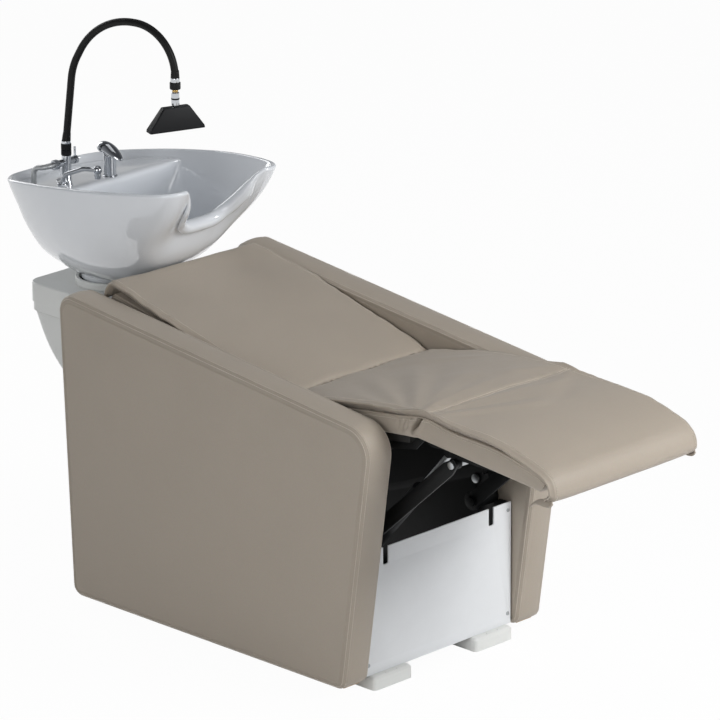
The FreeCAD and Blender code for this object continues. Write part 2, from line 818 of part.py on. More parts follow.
def make_legrest():
    leg = leg_line()
    crown_room = cushion_crown * 0.6
    under_mat = mat_thickness + mat_crown * 0.6 + seat_gap + crown_room + run_gap
    line = [point for point in offset_run(leg, -under_mat) if point[0] < hinge_y - cushion_fold_gap * 2]
    first = (hinge_y - cushion_fold_gap * 1.6, line[0][1])
    outline = [first] + line[:-1] + leg_bottom()
    cushion = soft_solid(outline, cushion_half_width, cushion_crown)
    front = -front_reach + leg_nose_inset + board_inset
    rear = hinge_y - cushion_fold_gap - board_inset / 2
    half_width = cushion_half_width - board_inset
    low_front, low_rear = board_low_z(front), board_low_z(rear)
    board_outline = [(front, low_front), (rear, low_rear), (rear, low_rear + board_thickness),
                     (front, low_front + board_thickness)]
    board = side_plate(board_outline, [0, 0, 0, 0], -half_width, half_width)
    pocket_outline = [(front - seat_gap, low_front - cut_over * 9),
                      (rear + seat_gap, low_rear - cut_over * 9),
                      (rear + seat_gap, low_rear + board_thickness + seat_gap),
                      (front - seat_gap, low_front + board_thickness + seat_gap)]
    pocket = side_plate(pocket_outline, [0, 0, 0, 0], -half_width - seat_gap, half_width + seat_gap)
    hinge_room = rod(V(-cushion_half_width + board_inset / 2, hinge_y, hinge_z),
                     V(cushion_half_width - board_inset / 2, hinge_y,
                       hinge_z), hinge_knuckle_radius + run_gap)
    place("legrest_cushion", cushion.cut(pocket).cut(hinge_room))
    place("legrest_board", board)

    for side, label in ((-1, "left"), (1, "right")):
        inner = side * track_inner_x
        outer = side * (track_inner_x + track_width)
        track_rear = arm_tip_y + track_overrun
        outline = [(track_front_y, board_low_z(track_front_y)), (track_rear, board_low_z(track_rear)),
                   (track_rear, track_low_z), (track_front_y, track_low_z)]
        track = side_plate(outline, [0, 0, 0, 0], min(inner, outer), max(inner, outer))
        place(label + "_roller_track", track)
        x0 = side * leg_hinge_x
        x1 = side * (leg_hinge_x + hinge_plate_thickness)
        tail = hinge_y - hinge_plate_reach
        neck = hinge_y - hinge_knuckle_radius * 2
        outline = [(tail, board_low_z(tail)), (rear, low_rear), (hinge_y, hinge_z + hinge_knuckle_radius / 2),
                   (hinge_y, hinge_z - hinge_knuckle_radius), (neck, low_rear - hinge_plate_depth),
                   (tail, board_low_z(tail) - hinge_plate_depth / 2)]
        plate = side_plate(outline, [0] * len(outline), min(x0, x1), max(x0, x1))
        eye = rod(V(min(x0, x1), hinge_y, hinge_z), V(max(x0, x1), hinge_y, hinge_z), hinge_knuckle_radius)
        bore = rod(V(min(x0, x1) - cut_over, hinge_y, hinge_z), V(max(x0, x1) + cut_over, hinge_y, hinge_z),
                   hinge_pin_radius + pin_gap)
        place(label + "_leg_hinge", joined([plate, eye]).cut(bore))

    lug_half = rod_eye_thickness / 2 + run_gap
    lugs = []
    top_z = min(board_low_z(actuator_pin_y - rod_eye_radius), board_low_z(actuator_pin_y + rod_eye_radius))
    for side in (-1, 1):
        inner = actuator_x + side * lug_half
        outer = actuator_x + side * (lug_half + actuator_lug_thickness)
        lug_outline = [(actuator_pin_y - rod_eye_radius, board_low_z(actuator_pin_y - rod_eye_radius)),
                       (hinge_y - cushion_fold_gap * 2.5, board_low_z(hinge_y - cushion_fold_gap * 2.5)),
                       (actuator_pin_y + lug_width / 2, actuator_pin_z), (actuator_pin_y - lug_width / 2,
                                                                          actuator_pin_z)]
        lug = side_plate(lug_outline, [0, 0, 0, 0], min(inner, outer), max(inner, outer))
        eye = rod(V(min(inner, outer), actuator_pin_y, actuator_pin_z),
                  V(max(inner, outer), actuator_pin_y, actuator_pin_z), lug_width / 2)
        lugs.append(joined([lug, eye]))
    bridge_low = top_z - bridge_thickness
    bridge = box(actuator_x - lug_half, actuator_x + lug_half, actuator_pin_y - rod_eye_radius,
                 hinge_y - cushion_fold_gap * 2.5, bridge_low, top_z)
    bracket = joined(lugs + [bridge])
    pin = rod(V(actuator_x - lug_half - actuator_lug_thickness, actuator_pin_y, actuator_pin_z),
              V(actuator_x + lug_half + actuator_lug_thickness, actuator_pin_y, actuator_pin_z),
              actuator_pin_radius)
    place("actuator_top_bracket", bracket.cut(pin))
    place("actuator_top_pin", pin)


def make_back_support(board_top, board_end):
    """Cross tube under the back board, on two posts that stand on the side plates."""
    slope = (board_top[1] - board_end[1]) / (board_top[0] - board_end[0])
    touch_y = back_tube_y - tube_size / 2
    under = board_end[1] + (touch_y - board_end[0]) * slope - board_thickness * math.hypot(1, slope)
    back_tube_z = under - tube_size / 2 - seat_gap / 2
    inner_x = arm_inner_x - plate_thickness
    pillars = []
    for side in (-1, 1):
        x0 = side * inner_x if side < 0 else inner_x - back_post_thickness
        pillar = box(x0, x0 + back_post_thickness, back_tube_y - back_post_width / 2,
                     back_tube_y + back_post_width / 2, plate_rear_top_z - plate_window_margin,
                     back_tube_z + tube_size / 2)
        pillars.append(pillar)
    tube = cross_tube(back_tube_y, back_tube_z, inner_x - back_post_thickness, tube_size)
    place("back_support", joined([tube] + pillars))


def make_seat_frame(board_top, board_end):
    """Two long rails under the seat board, the hinge rod and the tubes that carry them."""
    slope = (board_end[1] - board_top[1]) / (board_end[0] - board_top[0])

    def board_under(y):
        return board_top[1] + (y - board_top[0]) * slope - board_thickness * math.hypot(1,
                                                                                        slope) - seat_gap / 2

    for side, label in ((-1, "left"), (1, "right")):
        x0 = side * seat_rail_x
        x1 = side * (seat_rail_x + seat_rail_thickness)
        rail_start = board_end[0] - board_end_room
        tube_top = seat_tube_z + tube_size / 2
        outline = [(rail_start, board_under(rail_start)), (board_top[0], board_under(board_top[0])),
                   (seat_tube_y + tube_size / 2, tube_top + hinge_knuckle_radius),
                   (seat_tube_y + tube_size / 2, tube_top), (seat_tube_y - tube_size / 2, tube_top),
                   (front_seat_tube_y + tube_size, front_seat_tube_z + tube_size / 2),
                   (front_seat_tube_y - tube_size / 2, front_seat_tube_z + tube_size / 2),
                   (hinge_y + hinge_knuckle_radius * 2, board_under(hinge_y) - seat_rail_nose_depth),
                   (hinge_y - hinge_knuckle_radius / 2, hinge_z - hinge_knuckle_radius * 0.8),
                   (hinge_y, hinge_z + hinge_knuckle_radius * 0.9)]
        plate = side_plate(outline, [0] * len(outline), min(x0, x1), max(x0, x1))
        eye = rod(V(min(x0, x1), hinge_y, hinge_z), V(max(x0, x1), hinge_y, hinge_z), hinge_knuckle_radius)
        bore = rod(V(min(x0, x1) - cut_over, hinge_y, hinge_z), V(max(x0, x1) + cut_over, hinge_y, hinge_z),
                   hinge_pin_radius)
        place(label + "_seat_rail", joined([plate, eye]).cut(bore))
    half = seat_rail_x + seat_rail_thickness + hinge_rod_over
    place("hinge_rod", rod(V(-half, hinge_y, hinge_z), V(half, hinge_y, hinge_z), hinge_pin_radius))
    inner_x = arm_inner_x - plate_thickness
    place("front_seat_tube", cross_tube(front_seat_tube_y, front_seat_tube_z, inner_x, tube_size))


def make_lift():
    run_y, run_z = arm_tip_y - shaft_y, arm_tip_z - shaft_z
    length = math.hypot(run_y, run_z)
    along_y, along_z = run_y / length, run_z / length

    def at(s, t):
        return (shaft_y + along_y * s + along_z * t, shaft_z + along_z * s - along_y * t)

    half = lift_arm_width / 2
    for side, label in ((-1, "left"), (1, "right")):
        inner = side * (lift_arm_x - lift_arm_thickness / 2)
        outer = side * (lift_arm_x + lift_arm_thickness / 2)
        x0, x1 = min(inner, outer), max(inner, outer)
        outline = [at(-half, -half), at(length - half, -half), at(length + half * 0.8, -half * 0.5),
                   at(length + half * 0.8, half * 0.5), at(length - half, half), at(-half, half)]
        radii = [half * 0.9, half * 0.5, half * 0.4, half * 0.4, half * 0.5, half * 0.9]
        arm = side_plate(outline, radii, x0, x1)
        hub = rod(V(x0, shaft_y, shaft_z), V(x1, shaft_y, shaft_z), bearing_radius)
        arm = joined([arm, hub])
        pivot_hole = rod(V(x0 - cut_over, shaft_y, shaft_z), V(x1 + cut_over, shaft_y, shaft_z),
                         shaft_radius + pin_gap)
        tip_hole = rod(V(x0 - cut_over, arm_tip_y, arm_tip_z), V(x1 + cut_over, arm_tip_y, arm_tip_z),
                       roller_bolt_radius)
        place(label + "_lift_arm", arm.cut(pivot_hole).cut(tip_hole))
        inner_face = side * (lift_arm_x - lift_arm_thickness / 2 - seat_gap)
        outer_face = side * (lift_arm_x + lift_arm_thickness / 2 + run_gap)
        head_face = inner_face - side * pivot_head_height
        plate_face = side * (arm_inner_x - plate_thickness)
        boss = rod(V(outer_face, shaft_y, shaft_z), V(plate_face, shaft_y, shaft_z), boss_radius)
        shank = rod(V(head_face, shaft_y, shaft_z), V(outer_face + side * pivot_bolt_depth, shaft_y,
                                                      shaft_z), shaft_radius)
        head = rod(V(head_face, shaft_y, shaft_z), V(inner_face, shaft_y, shaft_z), pivot_head_radius)
        place(label + "_pivot_boss", boss.cut(shank))
        place(label + "_pivot_bolt", joined([shank, head]))
        near = side * (lift_arm_x - lift_arm_thickness / 2 - run_gap)
        far = near - side * roller_length
        wheel = rod(V(near, arm_tip_y, arm_tip_z), V(far, arm_tip_y, arm_tip_z), roller_radius)
        rims = [edge for edge in wheel.Edges if edge.Length > roller_radius * 6 and len(edge.Vertexes) == 1]
        wheel = wheel.makeFillet(roller_radius / 8, rims)
        bore = rod(V(near + side, arm_tip_y, arm_tip_z), V(far - side, arm_tip_y, arm_tip_z),
                   roller_bolt_radius + pin_gap)
        place(label + "_roller", wheel.cut(bore))
        bolts_end = side * (lift_arm_x + lift_arm_thickness / 2)
        cap = rod(V(bolts_end, arm_tip_y, arm_tip_z), V(bolts_end + side * roller_bolt_head_height,
                                                        arm_tip_y, arm_tip_z),
                  roller_bolt_head_radius)
        place(label + "_roller_cap", cap)
    reach = lift_arm_x + lift_arm_thickness / 2
    shaft = rod(V(-reach, arm_tip_y, arm_tip_z), V(reach, arm_tip_y, arm_tip_z), roller_bolt_radius)
    stop = lift_arm_x - lift_arm_thickness / 2 - run_gap * 2 - roller_length
    sleeve = rod(V(-stop, arm_tip_y, arm_tip_z), V(stop, arm_tip_y, arm_tip_z), sleeve_radius)
    place("roller_shaft", joined([shaft, sleeve]))


def make_actuator():
    foot = V(actuator_x, actuator_foot_y, actuator_foot_z)
    pin_place = V(actuator_x, actuator_pin_y, actuator_pin_z)
    direction = (pin_place - foot).normalize()
    total = (pin_place - foot).Length
    half_lug = rod_eye_thickness / 2
    tube = rod(foot + direction * gear_start_reach, foot + direction * actuator_tube_length,
               actuator_tube_radius)
    eye = rod(foot - V(half_lug, 0, 0), foot + V(half_lug, 0, 0), rod_eye_radius)
    neck = rod(foot, foot + direction * (gear_start_reach + run_gap), half_lug)
    side_shift = V(actuator_motor_offset, 0, 0)
    motor_start = foot + side_shift + direction * gear_start_reach
    motor = rod(motor_start, motor_start + direction * actuator_motor_length, actuator_motor_radius)
    gear_start = foot + direction * gear_start_reach
    gear_hull = [rod(gear_start, gear_start + direction * gear_length, actuator_motor_radius),
                 rod(gear_start + side_shift, gear_start + side_shift + direction * gear_length,
                     actuator_motor_radius)]
    across = V(0, -direction.z, direction.y)
    corner = gear_start - across * actuator_motor_radius
    slab = Part.Face(Part.makePolygon([corner, corner + across * 2 * actuator_motor_radius,
                                       corner + across * 2 * actuator_motor_radius + side_shift,
                                       corner + side_shift, corner])).extrude(direction * gear_length)
    body = joined([tube, eye, neck, motor, slab] + gear_hull)
    foot_hole = rod(foot - V(half_lug + cut_over, 0, 0), foot + V(half_lug + cut_over, 0, 0),
                    actuator_pin_radius + pin_gap)
    bore = rod(foot + direction * actuator_bore_start, foot + direction * (actuator_tube_length + cut_over),
               actuator_rod_radius + pin_gap)
    place("actuator_body", body.cut(foot_hole).cut(bore))
    eye_start = total - rod_eye_radius
    stem = rod(foot + direction * actuator_rod_inside, foot + direction * (eye_start + run_gap),
               actuator_rod_radius)
    end_eye = rod(pin_place - V(half_lug, 0, 0), pin_place + V(half_lug, 0, 0), rod_eye_radius)
    slot_way = (direction * -slot_along_share + across * slot_across_share).normalize()
    slot_radius = actuator_pin_radius + slot_play
    hole_near = rod(pin_place - V(half_lug + cut_over, 0, 0), pin_place + V(half_lug + cut_over, 0, 0),
                    slot_radius)
    far_place = pin_place + slot_way * rod_slot_travel
    hole_far = rod(far_place - V(half_lug + cut_over, 0, 0), far_place + V(half_lug + cut_over, 0, 0),
                   slot_radius)
    side_way = V(1, 0, 0).cross(slot_way).normalize()
    slot_corner = pin_place - V(half_lug + cut_over, 0, 0) - side_way * slot_radius
    slot = Part.Face(Part.makePolygon([slot_corner, slot_corner + side_way * 2 * slot_radius,
                                       slot_corner + side_way * 2 * slot_radius + slot_way * rod_slot_travel,
                                       slot_corner + slot_way * rod_slot_travel, slot_corner]))
    slot = slot.extrude(V(2 * (half_lug + cut_over), 0, 0))
    place("actuator_rod", joined([stem, end_eye]).cut(hole_near).cut(hole_far).cut(slot))
    rail_top = foot_height + tube_size
    lugs = []
    for side in (-1, 1):
        inner = actuator_x + side * (half_lug + run_gap)
        outer = actuator_x + side * (half_lug + run_gap + actuator_lug_thickness)
        plate = box(min(inner, outer), max(inner, outer), actuator_foot_y - lug_width / 2,
                    actuator_foot_y + lug_width / 2, rail_top, actuator_foot_z)
        round_top = rod(V(min(inner, outer), actuator_foot_y, actuator_foot_z),
                        V(max(inner, outer), actuator_foot_y, actuator_foot_z), lug_width / 2)
        lugs.append(joined([plate, round_top]))
    reach = half_lug + run_gap + actuator_lug_thickness
    base = box(actuator_x - reach, actuator_x + reach, actuator_foot_y - tube_size / 2,
               actuator_foot_y + tube_size / 2, rail_top, rail_top + bridge_thickness)
    pin = rod(V(actuator_x - reach, actuator_foot_y, actuator_foot_z),
              V(actuator_x + reach, actuator_foot_y, actuator_foot_z), actuator_pin_radius)
    place("actuator_foot_bracket", joined(lugs + [base]).cut(pin))
    place("actuator_foot_pin", pin)
    width, depth, height = control_box_size
    case = box(control_box_x, control_box_x + width, middle_tube_y - depth / 2, middle_tube_y + depth / 2,
               rail_top, rail_top + height)
    upright = [edge for edge in case.Edges if abs(edge.tangentAt(0).z) > 0.5]
    place("control_box", case.makeFillet(foot_corner_radius, upright))
    clip_x = arm_inner_x - plate_thickness
    clip = tube_along([V(clip_x, clip_y, clip_z), V(clip_x - clip_reach, clip_y, clip_z),
                       V(clip_x - clip_reach, clip_y, clip_z - clip_drop), V(clip_x, clip_y,
                                                                             clip_z - clip_drop)],
                      (clip_reach * 0.45, clip_reach * 0.45), clip_radius)
    place("cable_clip", clip)


def plan_ring(z, front_y, back_y, half_width, front_radius, back_radius):
    points = [V(-half_width, front_y, z), V(half_width, front_y, z), V(half_width, back_y, z),
              V(-half_width, back_y, z)]
    return rounded_loop(points, [front_radius, front_radius, back_radius, back_radius])


def pedestal_form(inset):
    height = pedestal_band_low_z - pedestal_low_z
    reach = pedestal_back_y - pedestal_band_inset - pedestal_base_y
    rings = []
    for z_share, y_share in zip(pedestal_curve_z_shares, pedestal_curve_y_shares):
        z = pedestal_low_z + height * z_share
        back = pedestal_base_y + reach * y_share - inset
        front = pedestal_front_y + inset
        rings.append(plan_ring(z, front, back, pedestal_half_width - pedestal_band_inset - inset,
                               pedestal_edge_radius - inset, pedestal_corner_radius - inset))
    return Part.makeLoft(rings, True, False)


def make_pedestal():
    shell = pedestal_form(0).cut(pedestal_form(pedestal_wall))
    half = post_arm_size / 2 + seat_gap
    opening = box(-half, half, pedestal_front_y - cut_over, pedestal_front_y + pedestal_wall * 3,
                  pedestal_low_z - cut_over, foot_height + tube_size + seat_gap)
    place("pedestal_shell", shell.cut(opening))
    band_half = pedestal_half_width - pedestal_band_inset
    band_back = pedestal_back_y - pedestal_band_inset
    band_front = pedestal_front_y + pedestal_band_inset
    band = Part.Face(plan_ring(pedestal_band_low_z, band_front, band_back, band_half, pedestal_edge_radius,
                               pedestal_corner_radius - pedestal_band_inset))
    band = band.extrude(V(0, 0, pedestal_band_top_z - pedestal_band_low_z))
    top = Part.Face(plan_ring(pedestal_band_top_z, pedestal_front_y, pedestal_back_y, pedestal_half_width,
                              pedestal_edge_radius, pedestal_corner_radius))
    top = top.extrude(V(0, 0, pedestal_top_z - pedestal_band_top_z))
    rim = [edge for edge in top.Edges if abs(edge.BoundBox.ZMin - pedestal_top_z) < run_gap / 10]
    top = top.makeFillet(pedestal_edge_radius / 3, rim)
    inner = Part.Face(plan_ring(pedestal_band_low_z - cut_over, band_front + pedestal_wall,
                                band_back - pedestal_wall, band_half - pedestal_wall,
                                pedestal_edge_radius - pedestal_wall,
                                pedestal_corner_radius - pedestal_band_inset - pedestal_wall))
    inner = inner.extrude(V(0, 0, pedestal_top_z - pedestal_wall - pedestal_band_low_z + cut_over))
    cap = joined([band, top]).cut(inner)
    mouth = rod(V(0, collar_y, pedestal_top_z - pedestal_wall - cut_over),
                V(0, collar_y, pedestal_top_z + cut_over),
                collar_radius - collar_wall)
    place("pedestal_cap", cap.cut(mouth))
    outer = rod(V(0, collar_y, pedestal_top_z), V(0, collar_y, collar_top_z), collar_radius)
    lip = [edge for edge in outer.Edges if abs(edge.BoundBox.ZMin - collar_top_z) < run_gap / 10]
    outer = outer.makeFillet(collar_wall / 3, lip)
    hole = rod(V(0, collar_y, pedestal_top_z - cut_over), V(0, collar_y, collar_top_z + cut_over),
               collar_radius - collar_wall)
    place("basin_collar", outer.cut(hole))

    post_top = pedestal_top_z - pedestal_wall - post_head_room
    outer = box(-post_size / 2, post_size / 2, post_y - post_size / 2, post_y + post_size / 2,
                post_foot_thickness, post_top)
    bore_size = post_size - 2 * post_wall
    bore = box(-bore_size / 2, bore_size / 2, post_y - bore_size / 2, post_y + bore_size / 2,
               post_foot_thickness - cut_over, post_top + cut_over)
    tube = outer.cut(bore)
    foot = box(-post_foot_size / 2, post_foot_size / 2, post_y - post_foot_size / 4,
               post_y + post_foot_size / 4,
               0, post_foot_thickness)
    arm = box(-post_arm_size / 2, post_arm_size / 2, rear_tube_y + tube_size / 2, post_y - post_size / 2,
              foot_height, foot_height + tube_size)
    arm_bore = box(-post_arm_size / 2 + post_wall, post_arm_size / 2 - post_wall,
                   rear_tube_y + tube_size / 2 + post_wall,
                   post_y - post_size / 2 + cut_over, foot_height + post_wall, foot_height + tube_size - post_wall)
    place("basin_post_tube", tube)
    place("basin_post_foot", foot)
    place("basin_post_arm", arm.cut(arm_bore))
    low = post_top - fork_depth
    eye_radius = pivot_radius + fork_thickness
    for side, label in ((-1, "left"), (1, "right")):
        x0, x1 = side * post_size / 2, side * (post_size / 2 + fork_thickness)
        outline = [(post_y - post_size / 2, low), (post_y + post_size / 2, low),
                   (pivot_y + eye_radius, post_top - fork_depth * 0.45), (pivot_y + eye_radius, pivot_z),
                   (pivot_y - eye_radius, pivot_z), (pivot_y - eye_radius * 1.5, post_top),
                   (post_y - post_size / 2, post_top)]
        plate = side_plate(outline, [0] * len(outline), min(x0, x1), max(x0, x1))
        eye = rod(V(min(x0, x1), pivot_y, pivot_z), V(max(x0, x1), pivot_y, pivot_z), eye_radius)
        bore = rod(V(min(x0, x1) - cut_over, pivot_y, pivot_z), V(max(x0, x1) + cut_over, pivot_y, pivot_z),
                   pivot_radius)
        place(label + "_tilt_fork", joined([plate, eye]).cut(bore))
    place("tilt_pin", rod(V(-pivot_half_length, pivot_y, pivot_z), V(pivot_half_length, pivot_y, pivot_z),
                          pivot_radius))


def rim_z(y):
    share = (y - rim_front_y) / (rear_reach - rim_front_y)
    return rim_front_z + (rim_back_z - rim_front_z) * share + rim_bow * 4 * share * (1 - share)


def rim_line(drop, start_y, end_y):
    count = 12
    return [(start_y + (end_y - start_y) * i / count, rim_z(start_y + (end_y - start_y) * i / count) - drop)
            for i in range(count + 1)]


def basin_ring(z, front_y, back_y, half_width):
    right = [V(half_width * w, back_y + (front_y - back_y) * l, z)
             for w, l in zip(plan_half_width_shares, plan_length_shares)]
    left = [V(-p.x, p.y, p.z) for p in right[-2:0:-1]]
    curve = Part.BSplineCurve()
    curve.interpolate(Points=right + left, PeriodicFlag=True)
    return Part.Wire([curve.toShape()])


def basin_form(inset, lowest):
    rings = []
    for z, front, back, half in zip(basin_level_z, basin_front_y, basin_back_y, basin_half_width):
        level = z if z > basin_level_z[0] else z + lowest
        rings.append(basin_ring(level, front + inset, back - inset, half - inset))
    return Part.makeLoft(rings, True, False)


def yz_slab(points):
    """Wide slab across X with a straight-sided (y, z) outline."""
    wide = overall_width
    corners = [V(-wide / 2, y, z) for y, z in points]
    return Part.Face(Part.makePolygon(corners + corners[:1])).extrude(V(wide, 0, 0))


def make_basin():
    below_rim = yz_slab(rim_line(0, rim_front_y - basin_wall * 4, rear_reach + basin_wall * 4)
                        + [(rear_reach + basin_wall * 4, basin_level_z[0] - basin_wall),
                           (rim_front_y - basin_wall * 4, basin_level_z[0] - basin_wall)])
    outer = basin_form(0, 0)
    hollow = basin_form(basin_wall, basin_wall)
    deck_line = rim_line(deck_drop, deck_front_y, rear_reach + basin_wall)
    deck_under = [(y, z - deck_thickness) for y, z in deck_line]
    deck = yz_slab(deck_line + deck_under[::-1])
    front_z = rim_z(deck_front_y) - deck_drop
    divider = yz_slab([(deck_front_y, front_z), (deck_front_y + deck_thickness, front_z - deck_thickness / 2),
                       (divider_foot_y + deck_thickness, basin_level_z[0]), (divider_foot_y,
                                                                             basin_level_z[0])])
    inner_walls = hollow.common(deck.fuse(divider))
    shell = outer.common(below_rim).cut(hollow)
    shell = shell.fuse(inner_walls)
    half, wide = notch_half_width, notch_top_half_width
    high, near_y = rim_front_z + notch_radius, rim_front_y - notch_reach
    slope = (wide - half) / (rim_front_z - notch_floor_z)
    wide = half + slope * (high - notch_floor_z)
    notch_loop = rounded_loop([V(-wide, near_y, high), V(-half, near_y, notch_floor_z),
                               V(half, near_y, notch_floor_z), V(wide, near_y, high)],
                              [0, notch_radius, notch_radius, 0])
    notch = Part.Face(notch_loop).extrude(V(0, 2 * notch_reach + cut_over, 0))
    shell = shell.cut(notch)
    lip_half = half + lip_radius * 0.45
    lip_low = notch_floor_z - lip_radius * 0.8
    lip_lean = (lip_y - lip_top_y) / (rim_z(lip_top_y) - lip_low)
    top_z = rim_front_z + lip_radius
    top_y = lip_y - lip_lean * (top_z - lip_low)
    lip_wide = lip_half + slope * (top_z - lip_low)
    lip = tube_along([V(-lip_wide, top_y, top_z), V(-lip_half, lip_y, lip_low), V(lip_half, lip_y, lip_low),
                      V(lip_wide, top_y, top_z)], (notch_radius + lip_radius / 2,
                                                   notch_radius + lip_radius / 2), lip_radius)
    shell = shell.fuse(lip.common(below_rim))
    drills = [rod(V(0, drain_y, basin_level_z[0] - cut_over), V(0, drain_y,
                                                                basin_level_z[0] + basin_wall + cut_over),
                  drain_pipe_radius + seat_gap)]
    for x, y, hole_radius, seat_radius in tap_places():
        base = tap_base_z(y, seat_radius)
        drills.append(rod(V(x, y, base - deck_thickness * 3), V(x, y, base + cut_over),
                          hole_radius + pin_gap))
        drills.append(rod(V(x, y, base), V(x, y, base + seat_radius), seat_radius + seat_gap))
    pipe_end = supply_points[-1]
    drills.append(rod(V(pipe_end[0], pipe_end[1], pipe_end[2] - deck_thickness * 4),
                      V(pipe_end[0], pipe_end[1], supply_points[-2][2]), supply_radius + seat_gap))
    for drill in drills:
        shell = shell.cut(drill)
    solids = sorted(shell.Solids, key=lambda solid: solid.Volume)
    place("basin", solids[-1])


def tap_base_z(y, seat_radius):
    return rim_z(y + seat_radius) - deck_drop - run_gap / 4


def tap_places():
    """x, y, hole radius and seat radius of each fitting on the deck."""
    return ((0.0, mixer_y, mixer_radius, mixer_ring_radius),
            (valve_x, valve_y, valve_radius, valve_flange_radius),
            (spout_foot_x, spout_foot_y, spout_radius + collar_step, spout_collar_radius))


def make_saddle():
    top = basin_level_z[0] - seat_gap
    low = top - saddle_thickness
    plate = box(-saddle_half_width, saddle_half_width, saddle_front_y, saddle_rear_y, low, top)
    pieces = [plate]
    for side in (-1, 1):
        x0, x1 = side * lug_x, side * (lug_x + saddle_thickness)
        outline = [(pivot_y - pivot_radius * 2, low), (saddle_rear_y, low),
                   (pivot_y + pivot_radius * 1.8, pivot_z),
                   (pivot_y - pivot_radius * 1.8, pivot_z)]
        lug = side_plate(outline, [0] * len(outline), min(x0, x1), max(x0, x1))
        eye = rod(V(min(x0, x1), pivot_y, pivot_z), V(max(x0, x1), pivot_y, pivot_z), pivot_radius * 1.8)
        pieces += [lug, eye]
    bore = rod(V(-pivot_half_length, pivot_y, pivot_z), V(pivot_half_length, pivot_y, pivot_z),
               pivot_radius + pin_gap)
    place("basin_saddle", joined(pieces).cut(bore))
    floor = basin_level_z[0] + basin_wall + seat_gap
    flange = rod(V(0, drain_y, floor), V(0, drain_y, floor + drain_flange_height), drain_flange_radius)
    rim = [edge for edge in flange.Edges if abs(edge.BoundBox.ZMin - floor - drain_flange_height) < run_gap / 10]
    flange = flange.makeFillet(drain_flange_height / 2, rim)
    pipe = rod(V(0, drain_y, floor + drain_flange_height / 2), V(0, drain_y, floor - drain_pipe_length),
               drain_pipe_radius)
    bore = rod(V(0, drain_y, floor - drain_pipe_length - cut_over),
               V(0, drain_y, floor + drain_flange_height + cut_over),
               drain_pipe_radius - drain_pipe_wall)
    seat = rod(V(0, drain_y, floor + drain_flange_height / 2),
               V(0, drain_y, floor + drain_flange_height + cut_over),
               strainer_radius + run_gap / 2)
    place("drain_fitting", joined([flange, pipe]).cut(bore).cut(seat))
    start = floor + drain_flange_height / 2 + pin_gap
    disc = rod(V(0, drain_y, start), V(0, drain_y, start + strainer_thickness), strainer_radius)
    for ring_share, count in ((0.45, 6), (0.78, 12)):
        for i in range(count):
            angle = 2 * math.pi * i / count
            x = strainer_radius * ring_share * math.cos(angle)
            y = drain_y + strainer_radius * ring_share * math.sin(angle)
            disc = disc.cut(rod(V(x, y, start - cut_over), V(x, y, start + strainer_thickness + cut_over),
                                strainer_hole_radius))
    knob = rod(V(0, drain_y, start), V(0, drain_y, start + strainer_knob_height), strainer_hole_radius * 1.6)
    place("hair_strainer", joined([disc, knob]))


